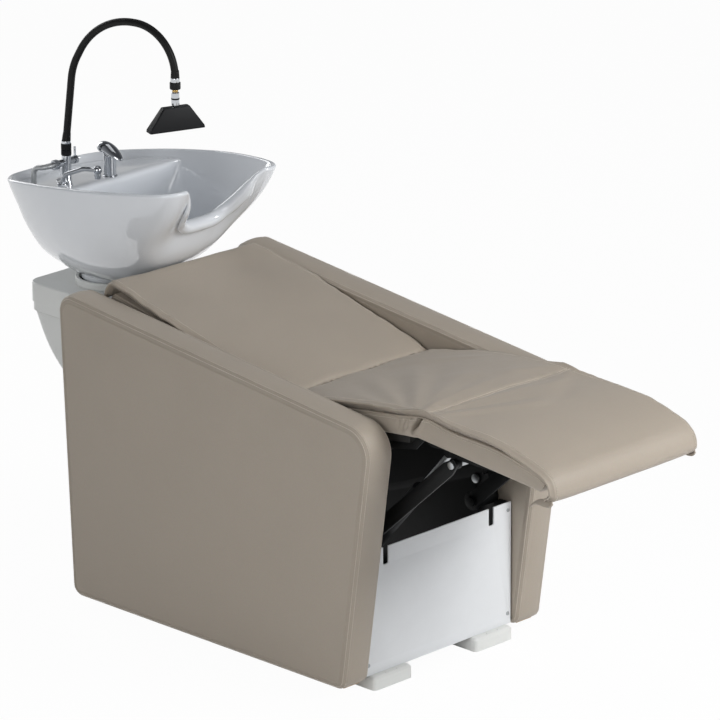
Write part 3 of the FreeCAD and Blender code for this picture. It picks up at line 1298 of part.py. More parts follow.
def make_mixer():
    base = tap_base_z(mixer_y, mixer_ring_radius)
    low = base - deck_thickness * 2
    top = base + mixer_ring_height + mixer_height
    lever_tip_z, lever_top_z = top - lever_tip_drop, top + lever_top_rise
    lever_pivot_z = top + lever_pivot_rise
    ring = rod(V(0, mixer_y, base), V(0, mixer_y, base + mixer_ring_height), mixer_ring_radius)
    ring = ring.cut(rod(V(0, mixer_y, base - cut_over), V(0, mixer_y, top), mixer_radius - run_gap))
    place("mixer_ring", ring)
    body = rod(V(0, mixer_y, base + mixer_ring_height), V(0, mixer_y, top), mixer_radius)
    rim = [edge for edge in body.Edges if abs(edge.BoundBox.ZMin - top) < run_gap / 10]
    body = body.makeFillet(run_gap * 1.5, rim)
    shank = rod(V(0, mixer_y, low), V(0, mixer_y, base + mixer_ring_height + cut_over),
                mixer_radius - run_gap)
    cup = rod(V(0, mixer_y, top - cartridge_height / 2), V(0, mixer_y, top + cut_over),
              cartridge_radius + pin_gap)
    place("mixer_body", joined([body, shank]).cut(cup))
    start = top - cartridge_height / 2 + pin_gap
    core = rod(V(0, mixer_y, start), V(0, mixer_y, top + run_gap * 2), cartridge_radius)
    ear = box(-lever_ear_half, lever_ear_half, lever_pivot_y - lever_ear_half * 1.4,
              lever_pivot_y + lever_ear_half * 1.4,
              top, lever_pivot_z)
    dome = rod(V(-lever_ear_half, lever_pivot_y, lever_pivot_z),
               V(lever_ear_half, lever_pivot_y, lever_pivot_z),
               lever_ear_half * 1.4)
    pin = rod(V(-lever_ear_half * 2.4, lever_pivot_y, lever_pivot_z),
              V(lever_ear_half * 2.4, lever_pivot_y, lever_pivot_z),
              lever_pin_radius)
    place("mixer_cartridge", joined([core, ear, dome, pin]))
    rings = []
    for y_share, w_share, top_share, low_share in zip(lever_y_shares, lever_width_shares, lever_top_shares,
                                                      lever_low_shares):
        y = lever_back_y + (lever_front_y - lever_back_y) * y_share
        half = lever_half_width * w_share
        crown_z = lever_tip_z + (lever_top_z - lever_tip_z) * top_share
        edge_z = lever_tip_z + (lever_top_z - lever_tip_z) * low_share
        points = [V(half, y, edge_z), V(half * 0.88, y, edge_z + (crown_z - edge_z) * 0.55),
                  V(half * 0.5, y, edge_z + (crown_z - edge_z) * 0.9), V(0, y, crown_z),
                  V(-half * 0.5, y, edge_z + (crown_z - edge_z) * 0.9),
                  V(-half * 0.88, y, edge_z + (crown_z - edge_z) * 0.55), V(-half, y, edge_z),
                  V(-half * 0.5, y, edge_z - run_gap), V(half * 0.5, y, edge_z - run_gap)]
        curve = Part.BSplineCurve()
        curve.interpolate(Points=points, PeriodicFlag=True)
        rings.append(Part.Wire([curve.toShape()]))
    lever = Part.makeLoft(rings, True, False)
    room = lever_ear_half + run_gap / 2
    pocket = box(-room, room, lever_pivot_y - lever_pocket_reach, lever_pivot_y + lever_pocket_reach,
                 lever_tip_z, lever_pivot_z + lever_ear_half * 1.4 + run_gap)
    holes = rod(V(-lever_ear_half * 2.4 - run_gap, lever_pivot_y, lever_pivot_z),
                V(lever_ear_half * 2.4 + run_gap, lever_pivot_y, lever_pivot_z), lever_pin_radius + pin_gap)
    lever = lever.cut(pocket).cut(holes)
    solids = sorted(lever.Solids, key=lambda solid: solid.Volume)
    place("mixer_lever", solids[-1])


def make_valve():
    base = tap_base_z(valve_y, valve_flange_radius)
    top = valve_top_z
    flange = rod(V(valve_x, valve_y, base), V(valve_x, valve_y, base + valve_flange_height),
                 valve_flange_radius)
    rim = [edge for edge in flange.Edges if abs(edge.BoundBox.ZMin - base - valve_flange_height) < run_gap / 10]
    flange = flange.makeFillet(valve_flange_height * 0.6, rim)
    flange = flange.cut(rod(V(valve_x, valve_y, base - cut_over), V(valve_x, valve_y, top),
                            valve_radius - run_gap))
    place("valve_flange", flange)
    body = rod(V(valve_x, valve_y, base + valve_flange_height), V(valve_x, valve_y, top), valve_radius)
    shank = rod(V(valve_x, valve_y, base - deck_thickness * 2),
                V(valve_x, valve_y, base + valve_flange_height + cut_over),
                valve_radius - run_gap)
    spigot = rod(V(valve_x, valve_y, top - cut_over), V(valve_x, valve_y, top + coupling_height * 0.6),
                 hose_bore_radius)
    left_port = rod(V(valve_x, valve_y, port_z), V(valve_x - port_length, valve_y, port_z), port_radius)
    right_port = rod(V(valve_x, valve_y, port_z), V(valve_x + port_length * 0.75, valve_y, port_z),
                     port_radius)
    nut_end = valve_x - port_length - nut_length
    nut = hexagon_bar(V(valve_x - port_length + cut_over, valve_y, port_z), V(nut_end, valve_y, port_z),
                      nut_radius)
    bore = rod(V(nut_end - cut_over, valve_y, port_z), V(valve_x - port_length, valve_y, port_z),
               supply_radius + pin_gap)
    place("valve_body", joined([body, shank, spigot, left_port, right_port, nut]).cut(bore))
    stub = V(valve_x + port_length * 0.75 + run_gap / 2, valve_y, port_z)
    knob = rod(stub, stub + V(valve_knob_length, 0, 0), valve_knob_radius)
    handle_x = stub.x + valve_knob_length / 2
    handle = rod(V(handle_x, valve_y, port_z), V(handle_x, valve_y,
                                                 port_z + valve_knob_radius + valve_pin_length),
                 valve_pin_radius)
    place("valve_lever", joined([knob, handle]))
    points = [V(valve_x - port_length - nut_length / 2, valve_y, port_z)]
    points += [V(*point) for point in supply_points]
    pipe = tube_along(points, supply_bends, supply_radius)
    place("supply_pipe", pipe)
    return top


def hexagon_bar(start, end, flat_radius):
    direction = (end - start)
    round_radius = flat_radius / math.cos(math.pi / 6)
    corners = []
    for i in range(6):
        angle = math.pi / 3 * i
        corners.append(start + V(0, round_radius * math.cos(angle), round_radius * math.sin(angle)))
    return Part.Face(Part.makePolygon(corners + corners[:1])).extrude(direction)


def goose_place(s, z):
    turn = math.radians(goose_turn_degrees)
    return V(valve_x + math.sin(turn) * s, goose_base_y - math.cos(turn) * s, z)


def make_gooseneck():
    low = valve_top_z + run_gap / 2
    knurl = rod(V(valve_x, valve_y, low), V(valve_x, valve_y, low + coupling_height), coupling_radius)
    rims = [edge for edge in knurl.Edges if len(edge.Vertexes) == 1]
    knurl = knurl.makeChamfer(run_gap, rims)
    bore = rod(V(valve_x, valve_y, low - cut_over),
               V(valve_x, valve_y, low + coupling_height * 0.6 + cut_over), hose_bore_radius + pin_gap)
    place("hose_coupling", knurl.cut(bore))
    start_z = low + coupling_height
    ring = rod(V(valve_x, valve_y, start_z), V(valve_x, valve_y, start_z + ring_height),
               boot_radius + run_gap)
    seat = rod(V(valve_x, valve_y, start_z - cut_over),
               V(valve_x, valve_y, start_z + ring_height + cut_over), hose_radius + ring_play)
    place("hose_ring", ring.cut(seat))
    corner_one = goose_place(goose_corner_s, goose_top_z)
    corner_two = goose_place(goose_end_s, goose_top_z)
    finish = goose_place(goose_end_s, goose_end_z)
    start = V(valve_x, valve_y, start_z + hose_start_lift)
    lean_corner = goose_place(goose_lean_s, goose_lean_z)
    points = [start, lean_corner, corner_one, corner_two, finish]
    hose = tube_along(points, goose_bends, hose_radius)
    inner = tube_along(points, goose_bends, hose_bore_radius)
    place("gooseneck_hose", hose.cut(inner))
    lean = (lean_corner - start).normalize()
    boots = []
    boot_start = start + lean * (ring_height + run_gap)
    for place_at, way in ((boot_start, lean), (finish, V(0, 0, 1))):
        boot = Part.makeCone(boot_radius, hose_radius + run_gap / 2, boot_length, place_at, way)
        boots.append(boot)
    lower_boot = boots[0].cut(hose_solid(points)).Solids
    place("lower_boot", sorted(lower_boot, key=lambda solid: solid.Volume)[-1])
    upper_boot = boots[1].cut(hose_solid(points)).Solids
    place("upper_boot", sorted(upper_boot, key=lambda solid: solid.Volume)[-1])
    x, y = finish.x, finish.y
    z = goose_end_z
    top_ring = rod(V(x, y, z), V(x, y, z - end_ring_height), end_ring_radius)
    place("end_ring", top_ring)
    z -= end_ring_height
    nut = rod(V(x, y, z), V(x, y, z - neck_nut_height), neck_nut_radius)
    rims = [edge for edge in nut.Edges if len(edge.Vertexes) == 1]
    nut = nut.makeChamfer(run_gap, rims)
    place("end_nut", nut.cut(rod(V(x, y, z - neck_nut_height - cut_over),
                                 V(x, y, z - neck_nut_height * 0.35), neck_pin_radius + pin_gap)))
    z -= neck_nut_height
    spindle = rod(V(x, y, z + neck_nut_height * 0.6), V(x, y, z - run_gap), neck_pin_radius)
    neck = rod(V(x, y, z - run_gap / 4), V(x, y, z - neck_height), neck_radius)
    place("head_neck", joined([spindle, neck]))
    z -= neck_height
    stem_low = z - stem_height
    stem = rod(V(x, y, z), V(x, y, stem_low), stem_radius)
    rims = [edge for edge in stem.Edges if len(edge.Vertexes) == 1]
    stem = stem.makeChamfer(run_gap, rims)
    ball_z = stem_low - ball_radius - ball_drop
    ball_neck = rod(V(x, y, stem_low + run_gap), V(x, y, ball_z), ball_radius * 0.6)
    ball = Part.makeSphere(ball_radius, V(x, y, ball_z))
    turn = math.radians(head_turn_degrees)
    reach = V(math.cos(turn), math.sin(turn), 0) * (ball_radius + cut_over)
    pin_hole = rod(V(x, y, ball_z) - reach, V(x, y, ball_z) + reach, pin_hole_radius)
    place("head_stem", joined([stem, ball_neck, ball]).cut(pin_hole))
    make_head(x, y, ball_z)


def hose_solid(points):
    return tube_along(points, goose_bends, hose_radius - pin_gap)


def head_ring(x, y, z, width, depth):
    corners = [V(x - width / 2, y - depth / 2, z), V(x + width / 2, y - depth / 2, z),
               V(x + width / 2, y + depth / 2, z), V(x - width / 2, y + depth / 2, z)]
    return rounded_loop(corners, [head_edge_radius] * 4)


def make_head(x, y, ball_z):
    top = ball_z + head_top_over
    low = top - head_height
    rings = [head_ring(x, y, top, head_top_width, head_top_depth),
             head_ring(x, y, low + head_foot_height, head_width - run_gap * 2, head_depth),
             head_ring(x, y, low, head_width, head_depth)]
    head = Part.makeLoft(rings, True, True)
    socket = Part.makeSphere(ball_radius + pin_gap, V(x, y, ball_z))
    mouth = rod(V(x, y, ball_z), V(x, y, top + cut_over), ball_radius + run_gap)
    recess = box(x - head_width / 2 + head_edge_radius, x + head_width / 2 - head_edge_radius,
                 y - head_depth / 2 + head_edge_radius, y + head_depth / 2 - head_edge_radius,
                 low - cut_over, low + jet_plate_thickness)
    head = head.cut(socket).cut(mouth).cut(recess)
    plate = box(x - head_width / 2 + head_edge_radius, x + head_width / 2 - head_edge_radius,
                y - head_depth / 2 + head_edge_radius, y + head_depth / 2 - head_edge_radius,
                low, low + jet_plate_thickness)
    jets = [plate]
    reach = head_width / 2 - head_edge_radius * 3
    for i in range(jet_count):
        for row in (-1, 0, 1):
            jet_x = x - reach + 2 * reach * i / (jet_count - 1)
            jet_y = y + row * head_depth / 4
            jets.append(rod(V(jet_x, jet_y, low + jet_plate_thickness / 2),
                            V(jet_x, jet_y, low - jet_height), jet_radius))
    plate = joined(jets)
    centre, axis = V(x, y, ball_z), V(0, 0, 1)
    place("spray_head", head.rotate(centre, axis, head_turn_degrees))
    place("spray_plate", plate.rotate(centre, axis, head_turn_degrees))


def make_spout():
    base = tap_base_z(spout_foot_y, spout_collar_radius)
    x, y = spout_foot_x, spout_foot_y
    collar = rod(V(x, y, base), V(x, y, base + spout_collar_height), spout_collar_radius)
    rim = [edge for edge in collar.Edges if abs(edge.BoundBox.ZMin - base - spout_collar_height) < run_gap / 10]
    collar = collar.makeFillet(spout_collar_height / 3, rim)
    shank = rod(V(x, y, base - deck_thickness * 2), V(x, y, base + cut_over), spout_radius + collar_step)
    bore = rod(V(x, y, base), V(x, y, base + spout_collar_height + cut_over), spout_radius + pin_gap)
    place("spout_collar", joined([collar, shank]).cut(bore))
    start = V(x, y, base + run_gap / 2)
    end = V(spout_end_x, spout_end_y, base + spout_end_rise)
    corner = V(x, y, base + spout_rise)
    level = V(x + (end.x - x) * spout_level_share, y + (end.y - y) * spout_level_share, end.z)
    tube = tube_along([start, corner, level, end], (spout_bend, spout_level_bend), spout_radius)
    knuckle = Part.makeSphere(spout_knuckle_radius, end)
    reach = V(y - end.y, end.x - x, 0).normalize() * (spout_knuckle_radius + cut_over)
    place("spout", joined([tube, knuckle]).cut(rod(end - reach, end + reach, pin_hole_radius)))
    nozzle = rod(end, end - V(0, 0, aerator_drop + aerator_length), aerator_radius)
    ball = Part.makeSphere(spout_knuckle_radius + pin_gap, end)
    bore = rod(end, end - V(0, 0, aerator_drop + aerator_length + cut_over), aerator_radius * 0.55)
    nozzle = nozzle.cut(ball)
    nozzle = nozzle.cut(bore)
    solids = sorted(nozzle.Solids, key=lambda solid: solid.Volume)
    place("spout_nozzle", solids[-1])


# Pieces fused by welding or moulding, then sets of tubes, plates or like pieces that stay separate solids
welded_sets = {
    "left_side_plate": ("left_side_plate", "left_pivot_boss"),
    "right_side_plate": ("right_side_plate", "right_pivot_boss", "cable_clip"),
    "actuator_top_bracket": ("actuator_top_bracket", "actuator_top_pin"),
    "roller_shaft": ("roller_shaft", "left_roller_cap", "right_roller_cap"),
    "gooseneck_hose": ("gooseneck_hose", "lower_boot", "upper_boot"),
    "head_stem": ("head_stem", "head_neck"),
    "mixer_body": ("mixer_body", "mixer_ring"),
    "valve_body": ("valve_body", "valve_flange"),
}
like_sets = {
    "basin_post": ("basin_post_tube", "basin_post_foot", "basin_post_arm", "left_tilt_fork",
                   "right_tilt_fork", "tilt_pin"),
    "seat_frame": ("front_seat_tube", "seat_cross_tube", "left_seat_rail", "right_seat_rail"),
    "base_frame": ("left_base_rail", "right_base_rail", "front_cross_tube", "middle_cross_tube",
                   "rear_cross_tube",
                   "left_front_post", "right_front_post", "actuator_foot_bracket", "actuator_foot_pin"),
    "arm_cores": ("left_arm_core", "right_arm_core"),
    "front_feet": ("left_front_foot", "right_front_foot"),
    "rear_feet": ("left_rear_foot", "right_rear_foot"),
    "roller_tracks": ("left_roller_track", "right_roller_track"),
    "leg_hinges": ("left_leg_hinge", "right_leg_hinge"),
    "pivot_bolts": ("left_pivot_bolt", "right_pivot_bolt"),
}


def combine():
    for name, members in welded_sets.items():
        pieces = [shapes.pop(member) for member in members]
        shapes[name] = joined(pieces)
    for name, members in like_sets.items():
        shapes[name] = Part.makeCompound([shapes.pop(member) for member in members])


def make_all():
    make_arms()
    make_side_plates()
    make_base_frame()
    make_front_panel()
    make_feet()
    back_ends, seat_ends = make_upholstery()
    make_back_support(*back_ends)
    make_seat_frame(*seat_ends)
    make_legrest()
    make_lift()
    make_actuator()
    make_pedestal()
    make_basin()
    make_saddle()
    make_mixer()
    make_valve()
    make_gooseneck()
    make_spout()
    combine()


def write_parts():
    os.makedirs("parts", exist_ok=True)
    for name in sorted(shapes):
        shapes[name].exportStep(os.path.join("parts", name + ".step"))


make_all()
write_parts()
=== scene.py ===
"""Hair washing bed: the looks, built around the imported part.

Lengths in tables are millimetres in the bed's own layout (Y from the front feet, Z from the floor)
and at() turns them into metres in the frame. Every piece keeps its place in its mesh.
"""

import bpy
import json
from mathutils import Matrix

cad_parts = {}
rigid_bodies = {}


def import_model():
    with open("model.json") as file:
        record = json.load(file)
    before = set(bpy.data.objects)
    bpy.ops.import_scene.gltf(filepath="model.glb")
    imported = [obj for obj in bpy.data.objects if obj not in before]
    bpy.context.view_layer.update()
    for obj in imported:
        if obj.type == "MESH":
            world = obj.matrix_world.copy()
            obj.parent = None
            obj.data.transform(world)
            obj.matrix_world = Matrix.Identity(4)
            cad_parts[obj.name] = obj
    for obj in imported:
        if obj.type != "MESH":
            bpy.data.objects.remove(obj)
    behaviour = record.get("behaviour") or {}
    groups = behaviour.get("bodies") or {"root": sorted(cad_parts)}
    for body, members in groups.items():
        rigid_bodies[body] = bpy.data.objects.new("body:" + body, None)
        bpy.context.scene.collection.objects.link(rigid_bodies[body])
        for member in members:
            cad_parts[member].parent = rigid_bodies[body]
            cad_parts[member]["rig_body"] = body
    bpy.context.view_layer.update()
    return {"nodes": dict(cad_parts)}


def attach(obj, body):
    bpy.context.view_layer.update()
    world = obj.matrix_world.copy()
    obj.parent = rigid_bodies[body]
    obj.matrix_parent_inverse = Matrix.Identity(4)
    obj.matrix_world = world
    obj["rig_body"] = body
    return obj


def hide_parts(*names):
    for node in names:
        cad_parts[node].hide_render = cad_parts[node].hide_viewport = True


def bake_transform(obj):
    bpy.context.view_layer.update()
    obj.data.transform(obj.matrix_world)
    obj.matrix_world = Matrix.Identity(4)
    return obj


bl_info = {
    "name": "Hair Washing Bed",
    "version": (1, 0, 0),
    "blender": (4, 5, 0),
    "location": "View3D > Sidebar > Washing Bed",
    "description": "Builds the upholstery, basin, fittings and studio of a salon washing bed",
    "category": "Add Mesh",
}

import bisect
import json
import math

import bmesh
import bpy
from mathutils import Matrix, Vector, noise

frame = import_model()

MM = 0.001
# The frame's origin, in the bed's own layout
ORIGIN_Y = 384.05
# The arms' inner and outer faces, across from the middle
ARM_INNER = 247.6
ARM_OUTER = 330.0
MAT_HALF_WIDTH = 239.0


# Places and curves

def at(x, y, z):
    """A place of the bed's layout, in the frame."""
    return Vector((x * MM, (y - ORIGIN_Y) * MM, z * MM))


def linear(code):
    """Hex colour as written on a swatch, turned into the values that Blender mixes."""
    values = [int(code[i:i + 2], 16) / 255 for i in (1, 3, 5)]
    return tuple(v / 12.92 if v <= 0.04045 else ((v + 0.055) / 1.055) ** 2.4 for v in values) + (1.0,)


def resample(points, step):
    """Even points along a run of tuples."""
    out = [points[0]]
    carry = 0.0
    for a, b in zip(points, points[1:]):
        length = math.dist(a, b)
        if length < 1e-9:
            continue
        along = step - carry
        while along <= length:
            t = along / length
            out.append(tuple(p + (q - p) * t for p, q in zip(a, b)))
            along += step
        carry = length - (along - step)
    if math.dist(out[-1], points[-1]) > step * 0.3:
        out.append(points[-1])
    return out


def smooth_run(points, step, rounds=16):
    """Catmull-Rom curve through the points, then even spacing."""
    dense = []
    last = len(points) - 1
    for i in range(last):
        p0, p1 = points[max(i - 1, 0)], points[i]
        p2, p3 = points[i + 1], points[min(i + 2, last)]
        for k in range(rounds):
            t = k / rounds
            dense.append(tuple(0.5 * ((2 * b) + (c - a) * t + (2 * a - 5 * b + 4 * c - d) * t * t
                                      + (3 * b - a - 3 * c + d) * t ** 3)
                               for a, b, c, d in zip(p0, p1, p2, p3)))
    dense.append(points[-1])
    return resample(dense, step)


def run_normals(points):
    """Unit normals of an open (y, z) run that goes towards the feet; they point up."""
    normals = []
    for i in range(len(points)):
        a, b = points[max(i - 1, 0)], points[min(i + 1, len(points) - 1)]
        dy, dz = b[0] - a[0], b[1] - a[1]
        length = math.hypot(dy, dz)
        normals.append((dz / length, -dy / length))
    return normals


def bump(value, centre, width):
    """1 at the centre, falling off softly on both sides."""
    return math.exp(-((value - centre) / width) ** 2)


def eased(value, low, high):
    """0 below low, 1 above high, and a soft rise between."""
    t = min(max((value - low) / (high - low), 0.0), 1.0)
    return t * t * (3 - 2 * t)


def ripple(x, y, z, scale, seed=0.0):
    """Smooth noise between -1 and 1, with waves of about the scale in mm."""
    return noise.noise(Vector((x / scale + seed, y / scale - seed, z / scale + 3 * seed)))


# Mesh making

# Points closer than this, in metres, are one: in meshes made here, and in copies of CAD nodes
OWN_MERGE, CAD_MERGE = 1e-6, 2e-6
# Faces of a CAD copy that turn by less than this are flat and become one
FLAT_LIMIT = math.radians(0.6)


def scene_object(name, data):
    """A new object in the scene, unturned and at the origin."""
    made = bpy.data.objects.new(name, data)
    bpy.context.scene.collection.objects.link(made)
    return made


def new_piece(name, verts, faces, material=None, smooth=True):
    """A piece with a mesh of its own: doubles merged and faces pointing outwards."""
    mesh = bpy.data.meshes.new(name)
    mesh.from_pydata([tuple(v) for v in verts], [], faces)
    mesh.validate()
    piece = scene_object(name, mesh)
    if material:
        mesh.materials.append(material)
    tidy_normals(mesh)
    if smooth:
        mesh.shade_smooth()
    return piece


def tidy_normals(mesh):
    """Merges doubles, then turns the faces outwards."""
    form = bmesh.new()
    form.from_mesh(mesh)
    bmesh.ops.remove_doubles(form, verts=form.verts, dist=OWN_MERGE)
    bmesh.ops.recalc_face_normals(form, faces=form.faces)
    form.to_mesh(mesh)
    form.free()


def ring_faces(rings, count):
    """Four-sided faces between rings of so many points."""
    faces = []
    for here in range(0, (rings - 1) * count, count):
        above = here + count
        for c in range(count):
            after = (c + 1) % count
            faces.append((here + c, here + after, above + after, above + c))
    return faces


def closed_rings(rings):
    """Vertices and faces of a tube of equal rings, its two ends filled with a fan."""
    count = len(rings[0])
    verts = [p for ring in rings for p in ring]
    faces = ring_faces(len(rings), count)
    for index in (0, len(rings) - 1):
        verts.append(sum((Vector(p) for p in rings[index]), Vector()) / count)
        start = index * count
        faces += [(start + i, start + (i + 1) % count, len(verts) - 1) for i in range(count)]
    return verts, faces


def apply_modifiers(piece):
    """Keeps the finished shape as a plain mesh and takes the modifiers away."""
    bpy.context.view_layer.update()
    made = bpy.data.meshes.new_from_object(piece.evaluated_get(bpy.context.evaluated_depsgraph_get()))
    materials = [slot.material for slot in piece.material_slots]
    piece.modifiers.clear()
    old = piece.data
    piece.data = made
    made.name = piece.name
    if not made.materials:
        for material in materials:
            made.materials.append(material)
    if old.users == 0:
        bpy.data.meshes.remove(old)
    return piece


def sharp_shading(mesh, degrees):
    """Smooth shading, broken at edges that turn by more than so many degrees."""
    mesh.shade_smooth()
    mesh.set_sharp_from_angle(angle=math.radians(degrees))


def dress(ending, material, finish_slot, segments, angle, **bevels):
    """Merged copies of CAD nodes that stand for them, each with its edges broken by so many mm."""
    for node, bevel in bevels.items():
        name = node + "_" + ending
        form = bmesh.new()
        form.from_mesh(frame["nodes"][node].data)
        bmesh.ops.remove_doubles(form, verts=form.verts, dist=CAD_MERGE)
        bmesh.ops.dissolve_limit(form, angle_limit=FLAT_LIMIT, verts=form.verts, edges=form.edges)
        mesh = bpy.data.meshes.new(name)
        form.to_mesh(mesh)
        form.free()
        mesh.materials.clear()
        mesh.materials.append(MATERIALS[material])
        piece = scene_object(name, mesh)
        if bevel:
            edge = piece.modifiers.new("edges", "BEVEL")
            edge.width = bevel * MM
            edge.segments = segments
            edge.limit_method = "ANGLE"
            edge.angle_limit = math.radians(angle)
            edge.use_clamp_overlap = True
            apply_modifiers(piece)
        sharp_shading(piece.data, angle)
        place_piece(piece, frame["nodes"][node]["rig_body"], finish_slot, node)


def place_piece(piece, body, finish_slot, *nodes):
    """Fixes a finished piece to the body that it rides on and hides the nodes that it stands for; finish_slot
    is not used.
    """
    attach(piece, body)
    if nodes:
        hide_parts(*nodes)


def lathe(name, profile, centre, material, axis=(0, 0, 1), count=48, smooth_angle=40.0, knurl=()):
    """A turned piece: profile is (radius, height) in mm along the axis from centre.

    A knurl is (lowest height, highest height, depth): every other line of points there is cut in.
    """
    way = Vector(axis).normalized()
    turn = Vector((0, 0, 1)).rotation_difference(way).to_matrix()
    verts = []
    for radius, height in profile:
        for i in range(count):
            a = 2 * math.pi * i / count
            cut = knurl[2] if knurl and knurl[0] <= height <= knurl[1] and i % 4 > 1 else 0.0
            p = Vector(((radius - cut) * math.cos(a), (radius - cut) * math.sin(a), height))
            verts.append(Vector(centre) + turn @ p * MM)
    faces = ring_faces(len(profile), count)
    for index in (0, len(profile) - 1):
        if profile[index][0] > 1e-6:
            faces.append(tuple(range(index * count, (index + 1) * count)))
    piece = new_piece(name, verts, faces, material)
    sharp_shading(piece.data, smooth_angle)
    return piece


def join(name, pieces):
    """One mesh of several loose pieces of the same body."""
    form = bmesh.new()
    materials = []
    for piece in pieces:
        own = piece.data.materials[:]
        materials += [material for material in own if material not in materials]
        for face in piece.data.polygons:
            face.material_index = materials.index(own[min(face.material_index, len(own) - 1)])
        form.from_mesh(piece.data)
        bpy.data.objects.remove(piece)
    mesh = bpy.data.meshes.new(name)
    form.to_mesh(mesh)
    form.free()
    for material in materials:
        mesh.materials.append(material)
    return scene_object(name, mesh)


# Materials

def add_node(tree, kind, settings=None, links=None):
    """One node with its settings (attributes or input values) and its incoming links."""
    node = tree.nodes.new(kind)
    for key, value in (settings or {}).items():
        if isinstance(key, int) or key in node.inputs.keys():
            node.inputs[key].default_value = value
        else:
            setattr(node, key, value)
    for key, source in (links or {}).items():
        tree.links.new(source, node.inputs[key])
    return node


def new_material(name, **shader):
    """A material with settings of its Principled shader, and the place that its patterns read."""
    material = bpy.data.materials.new(name)
    material.use_nodes = True
    tree = material.node_tree
    body = tree.nodes["Principled BSDF"]
    for key, value in shader.items():
        body.inputs[key.replace("_", " ")].default_value = value
    material.diffuse_color = shader.get("Base_Color", (0.5, 0.5, 0.5, 1))
    place = add_node(tree, "ShaderNodeTexCoord")
    return material, tree, body, place.outputs["Object"]


def tone_between(tree, body, low, high, factor):
    """Lets the colour drift between two tones."""
    mix = add_node(tree, "ShaderNodeMix", {"data_type": "RGBA", 6: low, 7: high}, {0: factor})
    tree.links.new(mix.outputs[2], body.inputs["Base Color"])
    return mix


def roughness_between(tree, body, low, high, factor):
    """Lets the gloss drift between two roughnesses."""
    spread = add_node(tree, "ShaderNodeMapRange", {"To Min": low, "To Max": high}, {"Value": factor})
    tree.links.new(spread.outputs["Result"], body.inputs["Roughness"])


def relief(tree, body, height, distance, strength, under=None):
    """A fine surface of so many metres' height, laid over a coarser one where there is one."""
    links = {"Height": height} | ({"Normal": under} if under else {})
    node = add_node(tree, "ShaderNodeBump", {"Distance": distance, "Strength": strength}, links)
    tree.links.new(node.outputs["Normal"], body.inputs["Normal"])
    return node.outputs["Normal"]


def cloud(tree, where, per_metre, detail=3.0, rough=0.5):
    """Soft noise with so many waves to a metre."""
    return add_node(tree, "ShaderNodeTexNoise", {"Scale": per_metre, "Detail": detail, "Roughness": rough},
                    {"Vector": where}).outputs["Fac"]


def leatherette(name, mid, dark, light):
    """Coated upholstery cloth, calendered: a matt soft sheen with a fine pebbled emboss."""
    material, tree, body, where = new_material(name, Base_Color=mid, Roughness=0.55, Specular_IOR_Level=0.4,
                                               Sheen_Weight=0.12, Sheen_Roughness=0.5)
    mix = tone_between(tree, body, dark, light, cloud(tree, where, 5.0, 5.0, 0.6))
    pores = add_node(tree, "ShaderNodeTexVoronoi", {"Scale": 620.0, "feature": "F1"}, {"Vector": where})
    speck = add_node(tree, "ShaderNodeMix", {"data_type": "RGBA", "blend_type": "MULTIPLY", 0: 0.10},
                     {6: mix.outputs[2], 7: pores.outputs["Color"]})
    grey = add_node(tree, "ShaderNodeMix", {"data_type": "RGBA", 0: 0.35},
                    {6: speck.outputs[2], 7: mix.outputs[2]})
    tree.links.new(grey.outputs[2], body.inputs["Base Color"])
    roughness_between(tree, body, 0.46, 0.58, cloud(tree, where, 40.0))
    # The emboss is about 0.7 mm between pebbles; it is drawn near 1.6 mm so that it shows at all.
    soft = relief(tree, body, cloud(tree, where, 38.0, 3.0), 0.0012, 0.35)
    relief(tree, body, pores.outputs["Distance"], 0.0006, 0.45, soft)
    return material


def clouded(name, tint, shade, tone, gloss, grain, **shader):
    """An even finish in which tone, gloss and surface drift a little.

    tone is (clouds to a metre, detail), gloss (least and greatest roughness, clouds to a metre) and
    grain (clouds to a metre, detail, height in metres, strength).
    """
    material, tree, body, where = new_material(name, Base_Color=tint, **shader)
    tone_between(tree, body, shade, tint, cloud(tree, where, *tone))
    low, high, per_metre = gloss
    roughness_between(tree, body, low, high, cloud(tree, where, per_metre))
    per_metre, detail, height, strength = grain
    relief(tree, body, cloud(tree, where, per_metre, detail), height, strength)
    return material


def glazed_china(name, tint, shade):
    """Vitreous china under a fired glaze: deep clear gloss, faint pooling of the glaze."""
    return clouded(name, tint, shade, (6.0, 2.0), (0.05, 0.11, 25.0), (14.0, 1.0, 0.0015, 0.12),
                   Roughness=0.06, IOR=1.52, Coat_Weight=0.6, Coat_Roughness=0.03)


def moulded_plastic(name, tint, shade, rough, gloss=0.5):
    """Injection moulded ABS or nylon: even colour and a fine spark-eroded texture."""
    return clouded(name, tint, shade, (12.0, 3.0), (rough - 0.05, rough + 0.06, 60.0),
                   (900.0, 1.0, 0.0002, 0.25), Roughness=rough, IOR=1.5, Specular_IOR_Level=gloss)


def powder_coat(name, tint, shade, rough, gloss=0.5):
    """Baked powder paint on steel: a slight orange peel."""
    # Real orange peel is about 1 mm across; 2.5 mm here, so that it shows.
    return clouded(name, tint, shade, (15.0, 3.0), (rough - 0.06, rough + 0.06, 45.0),
                   (400.0, 1.0, 0.0003, 0.3), Roughness=rough, IOR=1.5, Specular_IOR_Level=gloss)


def hose_cover(name, tint, shade):
    """Extruded rubber over a metal gooseneck: matt, with a faint bloom."""
    return clouded(name, tint, shade, (80.0, 3.0), (0.4, 0.58, 120.0), (700.0, 2.0, 0.0002, 0.3),
                   Roughness=0.55, Specular_IOR_Level=0.2)


